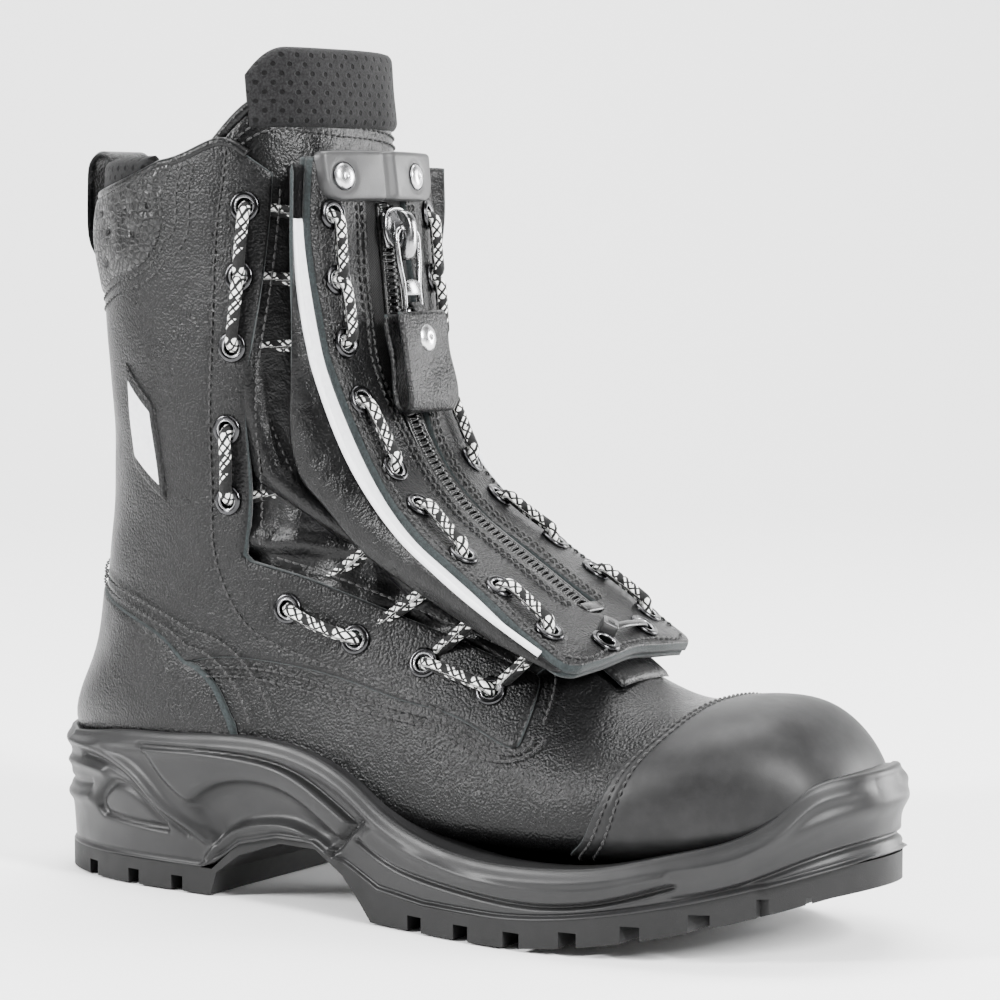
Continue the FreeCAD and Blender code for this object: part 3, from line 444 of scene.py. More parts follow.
def sheet(name, grid, thick, materials, slot, bevel=1.5, stands_for=(), body="boot",
          both=True, bulge=0.0):
    """A closed sheet of even thickness over a grid of points (rows, columns, 3) in mm."""
    rows, cols = grid.shape[:2]
    du = np.gradient(grid, axis=0)
    dv = np.gradient(grid, axis=1)
    normal = np.cross(du, dv)
    normal /= np.maximum(np.linalg.norm(normal, axis=2), 1e-9)[..., None]
    along = np.concatenate([np.zeros((1, cols)), np.cumsum(np.linalg.norm(np.diff(grid, axis=0), axis=2),
                                                           axis=0)])
    across = np.concatenate([np.zeros((rows, 1)), np.cumsum(np.linalg.norm(np.diff(grid, axis=1), axis=2),
                                                            axis=1)], 1)
    d = np.minimum(across, across[:, -1:] - across)
    d = np.minimum(d, np.minimum(along, along[-1:] - along))
    part = rounded(d, bevel) * 0.97 + 0.03
    swell = bulge * (1 - np.exp(-(d / (bevel * 2.2 + 0.1)) ** 1.4))
    half = (thick * part + swell) / 2
    top = grid + normal * half[..., None]
    low = grid - normal * (half if both else (thick * part / 2))[..., None]
    n = rows * cols
    index = np.arange(n).reshape(rows, cols)
    faces = []
    marks = []
    for i in range(rows - 1):
        for j in range(cols - 1):
            a, b, c, e = index[i, j], index[i, j + 1], index[i + 1, j + 1], index[i + 1, j]
            faces.append((a, b, c, e))
            faces.append((e + n, c + n, b + n, a + n))
            near = int(d[i:i + 2, j:j + 2].mean() < bevel * 0.4) if len(materials) > 1 else 0
            marks += [near, near]
    rim = list(index[0, :]) + list(index[1:, -1]) + list(index[-1, -2::-1]) + list(index[-2:0:-1, 0])
    for k in range(len(rim)):
        a, b = rim[k], rim[(k + 1) % len(rim)]
        faces.append((a, b, b + n, a + n))
        marks.append(1 if len(materials) > 1 else 0)
    uv = np.stack([along.ravel(), across.ravel()], 1) * 0.01
    return make_object(name, np.concatenate([top.reshape(-1, 3), low.reshape(-1, 3)]), faces, materials,
                       face_materials=marks, uv=np.concatenate([uv, uv]), slot=slot,
                       stands_for=stands_for, body=body)


def frames_along(path, up=None):
    """Tangent, side and up vectors along a path of points."""
    tangent = np.gradient(path, axis=0)
    tangent /= np.maximum(np.linalg.norm(tangent, axis=1), 1e-9)[:, None]
    if up is not None:
        lift = np.broadcast_to(np.asarray(up, float), path.shape)
        side = np.cross(tangent, lift)
        side /= np.maximum(np.linalg.norm(side, axis=1), 1e-9)[:, None]
        return tangent, side, np.cross(side, tangent)
    guess = np.array([0.0, 0.0, 1.0]) if abs(tangent[0][2]) < 0.8 else np.array([1.0, 0.0, 0.0])
    side = np.cross(tangent[0], guess)
    side /= np.linalg.norm(side)
    sides = [side]
    for t in tangent[1:]:
        side = side - t * (side @ t)
        side = side / max(np.linalg.norm(side), 1e-9)
        sides.append(side)
    sides = np.array(sides)
    return tangent, sides, np.cross(sides, tangent)


def tube(path, radius, around=10, up=None, flat=1.0, is_closed=False, ends=True):
    """Points, faces and UV of a tube along a path; flat squeezes it along its up vector."""
    path = np.asarray(path, float)
    n = len(path)
    radius = np.broadcast_to(np.asarray(radius, float), (n,))
    _, side, lift = frames_along(path, up)
    a = np.linspace(0, 2 * math.pi, around, endpoint=False)
    ring = side[:, None] * np.cos(a)[None, :, None] + lift[:, None] * (np.sin(a) * flat)[None, :, None]
    points = (path[:, None] + ring * radius[:, None, None]).reshape(-1, 3)
    run = np.r_[0, np.cumsum(np.linalg.norm(np.diff(path, axis=0), axis=1))]
    uv = np.stack([np.repeat(run, around), np.tile(np.arange(around) / around, n)], 1)
    faces = []
    for i in range(n if is_closed else n - 1):
        for j in range(around):
            k = (j + 1) % around
            p = ((i + 1) % n) * around
            faces.append((i * around + j, i * around + k, p + k, p + j))
    if ends and not is_closed:
        faces.append(tuple(range(around))[::-1])
        faces.append(tuple((n - 1) * around + j for j in range(around)))
    return points, faces, uv


def lathe(profile, centre, axis, around=32):
    """Points and faces of a closed profile (radius, height) turned about an axis."""
    axis = np.asarray(axis, float)
    axis = axis / np.linalg.norm(axis)
    guess = np.array([0.0, 1.0, 0.0]) if abs(axis[1]) < 0.8 else np.array([0.0, 0.0, 1.0])
    u = np.cross(guess, axis)
    u /= np.linalg.norm(u)
    v = np.cross(axis, u)
    profile = np.array(profile, float)
    n = len(profile)
    a = np.linspace(0, 2 * math.pi, around, endpoint=False)
    ring = u[None] * np.cos(a)[:, None] + v[None] * np.sin(a)[:, None]
    points = np.asarray(centre)[None, None] + ring[:, None] * profile[None, :, 0,
        None] + axis * profile[None, :, 1, None]
    faces = []
    for i in range(around):
        p = (i + 1) % around
        for j in range(n):
            k = (j + 1) % n
            faces.append((i * n + j, p * n + j, p * n + k, i * n + k))
    return points.reshape(-1, 3), faces


def surface_normal(place, flat, off=0.0):
    """Outward direction of a mapped surface at flat points."""
    flat = np.asarray(flat, float).reshape(-1, 2)
    out = place(flat, np.full(len(flat), off + 1.0)) - place(flat, np.full(len(flat), off))
    e = 0.4
    a = place(flat + [e, 0], np.full(len(flat), off)) - place(flat - [e, 0], np.full(len(flat), off))
    b = place(flat + [0, e], np.full(len(flat), off)) - place(flat - [0, e], np.full(len(flat), off))
    n = np.cross(a, b)
    n /= np.maximum(np.linalg.norm(n, axis=1), 1e-9)[:, None]
    return n * np.sign((n * out).sum(1))[:, None]


def stitches(parts, line, place, off, pitch=3.0, length=2.3, radius=0.36):
    """Short thread stitches that dip into the leather at both ends."""
    flat = smooth(line, 0.5)
    solid = place(flat, np.full(len(flat), off))
    normals = surface_normal(place, flat, off)
    run = np.r_[0, np.cumsum(np.linalg.norm(np.diff(solid, axis=0), axis=1))]
    starts = np.arange(0.4, run[-1] - length, pitch)
    u = np.linspace(0, 1, 6)
    lift = np.array([-0.45, 0.12, 0.34, 0.34, 0.12, -0.45]) * radius / 0.36
    thick = np.array([0.5, 0.85, 1, 1, 0.85, 0.5]) * radius
    for s in starts:
        x = s + u * length
        centre = np.stack([np.interp(x, run, solid[:, k]) for k in range(3)], 1)
        up = np.array([np.interp(s + length / 2, run, normals[:, k]) for k in range(3)])
        points, faces, uv = tube(centre + up * lift[:, None], thick, around=6, up=up)
        parts.add(points, faces)


# ---------------------------------------------------------------- materials

class Look:
    """A Principled material with procedural detail in the row frame."""

    def __init__(self, name, color, roughness, metallic=0.0, specular=0.5, sheen=0.0, coat=0.0):
        self.mat = bpy.data.materials.new(name)
        self.mat.use_nodes = True
        self.tree = self.mat.node_tree
        self.shader = self.tree.nodes["Principled BSDF"]
        self.color = tuple(color) + (1.0,)
        self.shader.inputs["Base Color"].default_value = self.color
        self.shader.inputs["Roughness"].default_value = roughness
        self.shader.inputs["Metallic"].default_value = metallic
        self.shader.inputs["Specular IOR Level"].default_value = specular
        self.shader.inputs["Sheen Weight"].default_value = sheen
        self.shader.inputs["Coat Weight"].default_value = coat
        self.roughness = roughness
        self.normal = None
        self.coords = self.node("ShaderNodeTexCoord").outputs["Object"]

    def node(self, kind, **values):
        made = self.tree.nodes.new(kind)
        for key, value in values.items():
            setattr(made, key, value)
        return made

    def link(self, a, b):
        self.tree.links.new(a, b)

    def noise(self, size_mm, detail=3.0, rough=0.55, stretch=(1, 1, 1), coords=None):
        n = self.node("ShaderNodeTexNoise")
        n.inputs["Scale"].default_value = 1.0
        n.inputs["Detail"].default_value = detail
        n.inputs["Roughness"].default_value = rough
        self.link(self.scaled(size_mm, stretch, coords), n.inputs["Vector"])
        return n.outputs["Fac"]

    def scaled(self, size_mm, stretch=(1, 1, 1), coords=None):
        m = self.node("ShaderNodeMapping")
        m.inputs["Scale"].default_value = [k * 1000.0 / size_mm for k in stretch]
        self.link(coords or self.coords, m.inputs["Vector"])
        return m.outputs["Vector"]

    def cells(self, size_mm, feature="F1", stretch=(1, 1, 1), random=1.0, coords=None, out="Distance"):
        v = self.node("ShaderNodeTexVoronoi", feature=feature)
        v.inputs["Scale"].default_value = 1.0
        v.inputs["Randomness"].default_value = random
        self.link(self.scaled(size_mm, stretch, coords), v.inputs["Vector"])
        return v.outputs[out]

    def remap(self, value, a, b, c, d):
        m = self.node("ShaderNodeMapRange")
        for key, x in zip(("From Min", "From Max", "To Min", "To Max"), (a, b, c, d)):
            m.inputs[key].default_value = x
        self.link(value, m.inputs["Value"])
        return m.outputs["Result"]

    def math(self, kind, a, b):
        m = self.node("ShaderNodeMath", operation=kind)
        for k, x in enumerate((a, b)):
            if isinstance(x, (int, float)):
                m.inputs[k].default_value = x
            else:
                self.link(x, m.inputs[k])
        return m.outputs[0]

    def bump(self, height, depth_mm, strength=1.0):
        b = self.node("ShaderNodeBump")
        b.inputs["Strength"].default_value = strength
        b.inputs["Distance"].default_value = depth_mm * MM
        self.link(height, b.inputs["Height"])
        if self.normal is not None:
            self.link(self.normal, b.inputs["Normal"])
        self.normal = b.outputs["Normal"]
        self.link(self.normal, self.shader.inputs["Normal"])

    def tint(self, value, other, low=0.35, high=0.65):
        """Mixes towards another colour where value is high."""
        mix = self.node("ShaderNodeMix", data_type="RGBA")
        self.link(self.remap(value, low, high, 0, 1), mix.inputs["Factor"])
        source = self.shader.inputs["Base Color"]
        if source.is_linked:
            self.link(source.links[0].from_socket, mix.inputs["A"])
        else:
            mix.inputs["A"].default_value = self.color
        mix.inputs["B"].default_value = tuple(other) + (1.0,)
        self.link(mix.outputs["Result"], source)

    def rough(self, value, low, high, a=0.3, b=0.7):
        self.link(self.remap(value, a, b, low, high), self.shader.inputs["Roughness"])


def leather(name, color, low, high, grain_mm=0.8, depth=0.28, folds=0.34):
    look = Look(name, color, (low + high) / 2, specular=0.22)
    pebble = look.cells(grain_mm, "SMOOTH_F1")
    fine = look.noise(grain_mm * 0.45, 2.0)
    look.bump(look.math("ADD", look.math("MULTIPLY", pebble, -1.0), look.math("MULTIPLY", fine, 0.5)), depth)
    look.bump(look.noise(6.0, 4.0), folds)
    look.rough(look.noise(14.0, 4.0), low, high)
    lighter = [c * 1.9 + 0.0006 for c in color]
    look.tint(look.noise(9.0, 5.0, 0.65), lighter, 0.42, 0.78)
    return look.mat


def fibre(name, color, other, depth=0.25, rough=0.9):
    """Cut leather edge: matte, fibrous, a little lighter."""
    look = Look(name, color, rough, specular=0.3, sheen=0.15)
    fuzz = look.noise(0.5, 4.0, 0.7)
    look.bump(fuzz, depth)
    look.tint(look.noise(0.9, 3.0, 0.7), other, 0.4, 0.65)
    return look.mat


def rubber(name, color, low, high, depth=0.05):
    look = Look(name, color, (low + high) / 2, specular=0.28)
    look.bump(look.noise(0.35, 3.0), depth)
    look.bump(look.noise(16.0, 3.0), 0.12)
    look.rough(look.noise(12.0, 4.0), low, high)
    look.tint(look.noise(25.0, 5.0, 0.6), [c * 1.5 for c in color], 0.4, 0.75)
    return look.mat


def metal(name, color, low, high):
    look = Look(name, color, (low + high) / 2, metallic=1.0)
    look.rough(look.noise(2.5, 5.0, 0.6), low, high)
    look.bump(look.noise(0.8, 3.0), 0.012)
    look.tint(look.noise(4.0, 4.0), [c * 0.75 for c in color], 0.45, 0.7)
    return look.mat


def plastic(name, color, low, high, depth=0.02):
    look = Look(name, color, (low + high) / 2, specular=0.5)
    look.bump(look.noise(0.5, 3.0), depth)
    look.rough(look.noise(5.0, 4.0), low, high)
    look.tint(look.noise(7.0, 4.0), [c * 1.3 for c in color], 0.45, 0.75)
    return look.mat


def mesh_cloth():
    """Warp-knit mesh with staggered small holes, in rows round the leg."""
    look = Look("mesh_cloth", (0.0035, 0.0035, 0.0037), 0.85, specular=0.15, sheen=0.03)
    split = look.node("ShaderNodeSeparateXYZ")
    look.link(look.coords, split.inputs[0])
    ahead = look.math("ADD", split.outputs["X"], 0.095)
    around = look.math("MULTIPLY", look.math("ARCTAN2", split.outputs["Y"], ahead), 48.0)
    pitch = 5.0
    row = look.math("DIVIDE", look.math("MULTIPLY", split.outputs["Z"], 1000.0), pitch * 0.62)
    number = look.math("FLOOR", row, 0.0)
    odd = look.math("MODULO", number, 2.0)
    column = look.math("ADD", look.math("DIVIDE", around, pitch), look.math("MULTIPLY", odd, 0.5))
    fx = look.math("SUBTRACT", look.math("SUBTRACT", row, number), 0.5)
    fy = look.math("SUBTRACT", look.math("SUBTRACT", column, look.math("FLOOR", column, 0.0)), 0.5)
    fx = look.math("MULTIPLY", fx, 0.62)
    d = look.math("SQRT", look.math("ADD", look.math("MULTIPLY", fx, fx), look.math("MULTIPLY", fy, fy)), 0.0)
    hole = look.remap(d, 0.12, 0.2, 1.0, 0.0)
    weave = look.noise(0.45, 2.0, 0.6)
    look.bump(weave, 0.16)
    look.bump(look.math("MULTIPLY", hole, -1.0), 0.5)
    look.tint(look.noise(0.8, 3.0), (0.016, 0.016, 0.0165), 0.35, 0.7)
    # Painted shade: the hole centres are darkened for the shade that falls inside the holes.
    look.tint(hole, (0.001, 0.001, 0.001), 0.25, 0.7)
    return look.mat


def woven_tape():
    look = Look("zip_tape_cloth", (0.004, 0.004, 0.004), 0.8, specular=0.2, sheen=0.03)
    wave = look.node("ShaderNodeTexWave", wave_type="BANDS", bands_direction="DIAGONAL")
    wave.inputs["Scale"].default_value = 1.0
    wave.inputs["Distortion"].default_value = 1.5
    wave.inputs["Detail"].default_value = 2.0
    look.link(look.scaled(1.6), wave.inputs["Vector"])
    look.bump(wave.outputs["Fac"], 0.14)
    look.bump(look.noise(0.35, 2.0), 0.1)
    look.tint(wave.outputs["Fac"], (0.012, 0.012, 0.012), 0.5, 0.9)
    return look.mat


def braid():
    """Round braided lace: black with broken white flecks, from its own UV (x along, y around)."""
    look = Look("lace_braid", (0.005, 0.005, 0.005), 0.7, specular=0.2, sheen=0.05)
    uv = look.node("ShaderNodeTexCoord").outputs["UV"]
    split = look.node("ShaderNodeSeparateXYZ")
    look.link(uv, split.inputs[0])
    along = look.math("DIVIDE", split.outputs["X"], 3.4)
    around = look.math("MULTIPLY", split.outputs["Y"], 4.0)
    one = look.math("ADD", along, around)
    two = look.math("SUBTRACT", along, around)

    def saw(v):
        f = look.math("SUBTRACT", v, look.math("FLOOR", v, 0.0))
        return look.math("MULTIPLY", look.math("ABSOLUTE", look.math("SUBTRACT", f, 0.5), 0.0), 2.0)

    strand_a = saw(one)
    strand_b = saw(two)
    look.bump(look.math("MULTIPLY", strand_a, strand_b), 0.35)
    look.bump(look.noise(0.25, 2.0), 0.08)
    cell = look.node("ShaderNodeTexWhiteNoise", noise_dimensions="2D")
    joint = look.node("ShaderNodeCombineXYZ")
    look.link(look.math("FLOOR", look.math("MULTIPLY", one, 1.0), 0.0), joint.inputs[0])
    look.link(look.math("FLOOR", look.math("MULTIPLY", split.outputs["X"], 0.16), 0.0), joint.inputs[1])
    look.link(joint.outputs[0], cell.inputs["Vector"])
    pick = look.remap(cell.outputs["Value"], 0.52, 0.56, 0.0, 1.0)
    band = look.remap(strand_a, 0.30, 0.45, 0.0, 1.0)
    broken = look.remap(strand_b, 0.20, 0.34, 0.0, 1.0)
    fleck = look.math("MULTIPLY", look.math("MULTIPLY", pick, band), broken)
    look.tint(fleck, (0.86, 0.86, 0.84), 0.3, 0.7)
    return look.mat


def scaly():
    """Padded collar leather embossed with small scales."""
    look = Look("scaly_leather", (0.004, 0.004, 0.0042), 0.38, specular=0.4)
    cell = look.cells(2.3, "DISTANCE_TO_EDGE", random=0.75)
    look.bump(look.remap(cell, 0.0, 0.22, 0.0, 1.0), 0.45)
    look.bump(look.noise(0.4, 3.0), 0.06)
    # Painted light and shade: the raised scale centres are lighter and the grooves between the scales darker.
    look.tint(cell, (0.012, 0.012, 0.0122), 0.1, 0.5)
    look.rough(cell, 0.55, 0.27, 0.05, 0.25)
    return look.mat


def reflective():
    look = Look("reflective_film", (0.80, 0.81, 0.83), 0.35, specular=0.6)
    look.bump(look.cells(0.5, "F1", random=0.2), 0.03)
    look.rough(look.noise(3.0, 3.0), 0.28, 0.45)
    look.tint(look.noise(2.0, 4.0), (0.70, 0.71, 0.74), 0.45, 0.7)
    return look.mat


M_LEATHER = leather("grain_leather_black", (0.0022, 0.0022, 0.0023), 0.26, 0.37)
M_SOFT = leather("soft_leather_black", (0.0022, 0.0022, 0.0023), 0.25, 0.36, grain_mm=0.7, depth=0.16,
                 folds=0.7)
M_TOE = leather("toe_coating_black", (0.0085, 0.0085, 0.0087), 0.44, 0.52, grain_mm=0.35, depth=0.012,
                folds=0.06)
M_EDGE = fibre("cut_edge", (0.0085, 0.0115, 0.0120), (0.022, 0.030, 0.031))
M_SUEDE = fibre("flesh_side", (0.005, 0.0058, 0.006), (0.012, 0.015, 0.015), 0.4, 0.95)
M_PU = rubber("midsole_polyurethane", (0.0115, 0.0115, 0.0118), 0.36, 0.48)
M_RUBBER = rubber("tread_rubber_black", (0.0065, 0.0065, 0.0066), 0.55, 0.7, 0.08)
M_GUNMETAL = metal("gunmetal", (0.050, 0.050, 0.052), 0.16, 0.3)
# Painted highlight: a lighter metal for the thin rolled rim of each eyelet, in place of the highlight along
# its edge.
M_RIM_PAINTED_HIGHLIGHT = metal("bright_rim", (0.30, 0.30, 0.31), 0.2, 0.32)
M_STEEL = metal("bright_steel_rivet", (0.72, 0.72, 0.73), 0.22, 0.36)
M_PULLER = metal("zip_metal", (0.30, 0.30, 0.305), 0.14, 0.28)
M_COIL = plastic("zip_coil_black", (0.006, 0.006, 0.006), 0.2, 0.32)
M_CLIP = plastic("clip_plastic_grey", (0.026, 0.026, 0.0265), 0.40, 0.5, 0.04)
M_TIE = plastic("cable_tie_black", (0.016, 0.016, 0.016), 0.25, 0.35)
M_THREAD = fibre("thread_black", (0.008, 0.008, 0.008), (0.03, 0.03, 0.03), 0.06, 0.65)
M_MESH = mesh_cloth()
M_TAPE = woven_tape()
M_LACE = braid()
M_SCALY = scaly()
M_REFLECT = reflective()
M_LINING = fibre("lining_cloth", (0.008, 0.008, 0.0085), (0.018, 0.018, 0.0185), 0.12, 0.9)


# ---------------------------------------------------------------- stage, light and camera

def area_light(name, place, target, size, power, tall=None):
    data = bpy.data.lights.new(name, "AREA")
    data.energy = power
    data.shape = "RECTANGLE"
    data.size = size
    data.size_y = tall or size
    obj = bpy.data.objects.new(name, data)
    obj.location = place
    aim = Vector(target) - Vector(place)
    obj.rotation_euler = aim.to_track_quat("-Z", "Y").to_euler()
    bpy.context.scene.collection.objects.link(obj)
    return obj


def make_stage():
    """Pale floor that sweeps up behind the boot."""
    floor_look = Look("studio_floor", (0.93, 0.93, 0.93), 0.9, specular=0.1)
    away = np.array([-0.545, 0.838])
    across = np.array([0.838, 0.545])
    bend = [(math.sin(a) * 0.9, 0.9 - math.cos(a) * 0.9) for a in np.linspace(0, math.pi / 2, 24)]
    profile = [(-5.0, 0.0)] + [(1.5 + x, z) for x, z in bend] + [(2.4, 4.0)]
    points = []
    for run, height in profile:
        for reach in (-6.0, 6.0):
            spot = away * run + across * reach
            points.append((spot[0], spot[1], height - 0.0006))
    faces = [(2 * k, 2 * k + 1, 2 * k + 3, 2 * k + 2) for k in range(len(profile) - 1)]
    mesh = bpy.data.meshes.new("studio_floor")
    mesh.from_pydata(points, [], faces)
    mesh.materials.append(floor_look.mat)
    mesh.shade_smooth()
    floor = bpy.data.objects.new("studio_floor", mesh)
    bpy.context.scene.collection.objects.link(floor)
    world = bpy.data.worlds.new("studio")
    world.use_nodes = True
    world.node_tree.nodes["Background"].inputs["Color"].default_value = (1, 1, 1, 1)
    world.node_tree.nodes["Background"].inputs["Strength"].default_value = 0.10
    bpy.context.scene.world = world
    area_light("key_right", (1.25, -0.35, 0.85), (0.02, 0, 0.13), 0.20, 56, 0.6)
    area_light("key_left", (-0.85, -1.05, 0.75), (-0.05, 0, 0.13), 0.16, 44, 0.6)
    area_light("top", (-0.1, 0.1, 1.5), (0, 0, 0.1), 0.8, 14, 0.6)
    area_light("back_rim", (0.76, 1.15, 0.34), (0, 0, 0.17), 0.36, 26, 0.6)
    area_light("backdrop_wash", (-0.5, 0.75, 2.6), (-1.2, 1.9, 0.2), 2.2, 150, 1.2)
    area_light("floor_wash", (0.9, -1.2, 2.6), (0.4, -0.6, 0.0), 1.6, 36, 1.6)


def make_camera():
    data = bpy.data.cameras.new("camera")
    data.lens = 118.8
    data.sensor_width = 36.0
    data.clip_start = 0.05
    obj = bpy.data.objects.new("camera", data)
    obj.location = (0.6118, -0.9182, 0.228)
    obj.rotation_euler = Vector((-0.5427, 0.8357, -0.0837)).to_track_quat("-Z", "Y").to_euler()
    bpy.context.scene.collection.objects.link(obj)
    bpy.context.scene.camera = obj


make_stage()
make_camera()


# ---------------------------------------------------------------- sole

SOLE_OUTLINE = [
    (-159, 0), (-151, -23), (-124, -38), (-85, -42), (-42, -44), (0, -50), (48, -57.6),
    (90, -54), (127, -38), (151, -15), (159, 4), (152, 25), (125, 44), (86, 57), (46, 54),
    (0, 44), (-42, 38), (-85, 38), (-124, 36), (-151, 23),
]
RIM_OUTLINE = [
    (-158, 0), (-151, -24), (-126, -40), (-87, -46.5), (-43, -47.5), (0, -51.5), (48, -56.5),
    (90, -54.5), (127, -40), (150, -17), (157, 4), (151, 27), (126, 47), (86, 58), (46, 55),
    (0, 49), (-43, 47), (-87, 46.5), (-126, 40), (-151, 24),
]
RIM_LINE = [
    (-162, 50), (-140, 49), (-114, 52), (-87, 53.5), (-62, 55), (-40, 54), (-23, 50), (-10, 44),
    (1, 37), (17, 30), (40, 25.5), (63, 25), (87, 27), (112, 33), (128, 38), (138, 45),
    (146, 53), (162, 56),
]
TREAD_DEPTH = 9.0
TOE_SPRING = 22.0


def line_height(line, x):
    """Height of a smooth side-view line at x."""
    p = smooth(line, 1.0)
    return np.interp(x, p[:, 0], p[:, 1])


def ground_rise(x):
    return TOE_SPRING * np.clip((x - 48.0) / 108.0, 0, 1) ** 1.7


def parting_height(x):
    """Height of the line between tread rubber and midsole."""
    low = [(-162, TREAD_DEPTH), (-80, TREAD_DEPTH), (-74, 11), (-62, 19), (-44, 23.2), (-28, 23.2),
           (-14, 17.5),
           (0, TREAD_DEPTH + 2), (20, TREAD_DEPTH)]
    x = np.asarray(x, float)
    return np.where(x < 20, np.interp(x, [p[0] for p in low], [p[1] for p in low]),
                    TREAD_DEPTH + ground_rise(x))


def ring_outline(outline, count):
    """Even samples round a closed smooth outline that keep both outlines in step."""
    rows = outline[-4:] + outline + outline[:5]
    spline = Stations(rows)
    return spline(4 + np.linspace(0, len(outline), count, endpoint=False))


def line_mark(p, line, reach):
    """Soft mark, 1 on the line and 0 beyond its reach."""
    d = distance(p, smooth(line, 1.5), False)
    return np.exp(-(d / reach) ** 2)


def area_mark(p, loop, soft):
    """Signed soft area: 1 inside the loop, 0 outside."""
    outline = closed(loop, 1.5)
    d = distance(p, outline)
    return 1 / (1 + np.exp(-np.where(inside(p, outline), d, -d) / soft))


def side_relief(p):
    """Ridges and hollows of the midsole's side wall, in the side view (x, z)."""
    x, z = p[:, 0], p[:, 1]
    rim = line_height(RIM_LINE, x)
    low = parting_height(x)
    relief = np.zeros(len(p))
    relief += 1.3 * np.exp(-((rim - 3.0 - z) / 2.6) ** 2)
    band = [[(-101, 48.7), (-83, 49.4), (-60, 49.2), (-38, 46.2), (-22, 39), (-10, 32.5)],
            [(-10, 32.5), (-16, 27)],
            [(-16, 27), (-26, 33), (-37, 38.4), (-48, 41), (-59, 41), (-71, 37.9), (-80, 32)],
            [(-80, 32), (-90, 38), (-101, 48.7)]]
    relief += 1.1 * area_mark(p, band, 0.35)
    relief -= 1.0 * line_mark(p, [(-102, 49.6), (-83, 50.3), (-60, 50.2), (-38, 47.2), (-21, 39.8),
                                  (-9, 33)], 0.7)
    hollow = [[(-80, 31), (-71, 36.9), (-59, 40.2), (-48, 40.2), (-37, 37.6), (-26, 32.2), (-17, 26)],
              [(-17, 26), (-24, 24), (-34, 27), (-48, 27.4), (-62, 24), (-71, 18)],
              [(-71, 18), (-80, 31)]]
    relief -= 2.6 * area_mark(p, hollow, 1.3)
    relief += 1.5 * line_mark(p, [(-76, 11), (-70, 18.5), (-61, 24), (-48, 27.2), (-35, 27), (-26, 23.6),
                                  (-18, 20)], 1.6)
    relief -= 1.4 * line_mark(p, [(-5.5, 34), (-13, 27), (-20, 20.5)], 0.9)
    fore = [[(-6, 27.5), (-2.6, 31.4), (8, 29), (24, 25), (41, 21.8), (63, 20.4), (88, 22.5), (108, 28)],
            [(108, 28), (110, 25.4)],
            [(110, 25.4), (88, 18.2), (63, 15.4), (42, 16.4), (20, 18.6), (4, 22), (-6, 27.5)]]
    relief += 0.9 * area_mark(p, fore, 0.4)
    relief -= 1.0 * line_mark(p, [(-7.5, 26.6), (4, 21), (20, 17.6), (42, 15.4), (63, 14.4), (88, 17.2),
                                  (110, 24)], 0.9)
    window = [[(-118, 36), (-112, 35.8), (-103, 31.6), (-93, 23)], [(-93, 23), (-92.4, 20)],
              [(-92.4, 20), (-104, 20.6), (-124, 22.4)], [(-124, 22.4), (-127, 25), (-118, 36)]]
    relief -= 1.7 * area_mark(p, window, 0.35)
    inner = [[(-117, 33.5), (-112, 33.6), (-104, 30), (-95, 22.4)], [(-95, 22.4), (-104, 22), (-122, 23.6)],
             [(-122, 23.6), (-124, 25.5), (-117, 33.5)]]
    relief += 1.0 * area_mark(p, inner, 0.5)
    relief += 1.4 * line_mark(p, [(-140, 47.5), (-129, 46.4), (-117.6, 44), (-104, 38.4), (-93, 30),
                                  (-82, 23.4), (-75, 19)], 1.9)
    relief -= 0.9 * line_mark(p, [(-135, 42.6), (-117.6, 40.8), (-106, 35.6), (-94, 26.4), (-84, 19.8)], 0.9)
    relief += 0.8 * line_mark(p, [(-160, 37), (-135, 38.6), (-122, 38)], 1.6)
    relief += 0.9 * line_mark(p, [(-160, 27), (-140, 26.5), (-131, 27.5)], 2.0)
    relief -= 0.7 * line_mark(p, [(-160, 32), (-140, 32), (-130, 33)], 1.2)
    edge = z - low
    relief -= 0.55 * np.exp(-((edge - 1.4) / 0.5) ** 2)
    relief += 0.5 * np.exp(-((edge - 0.2) / 0.9) ** 2)
    return relief


def toe_relief(x, y, z):
    """Curved grooves and the swollen bumper round the toe."""
    relief = np.zeros(len(x))
    turn = np.degrees(np.arctan2(y - 3, x - 96))
    p = np.stack([turn * 0.8, z], 1)
    fade = 1 / (1 + np.exp(-(x - 112) / 5.0))
    relief += fade * 1.8 * line_mark(p, [(-62, 24), (-46, 30), (-32, 38), (-18, 45), (-4, 47.5), (20, 46),
                                         (46, 34), (66, 24)], 4.2)
    relief -= fade * 0.9 * line_mark(p, [(-60, 20), (-40, 25), (-24, 31.5), (-8, 35.5), (10, 35.5), (30, 31),
                                         (56, 21)], 0.8)
    relief += fade * 0.8 * line_mark(p, [(-34, 24.5), (-22, 28), (-8, 31), (10, 31), (26, 27)], 2.2)
    relief -= fade * 0.7 * line_mark(p, [(-24, 24), (-10, 26), (8, 26.2), (22, 24)], 0.6)
    return relief


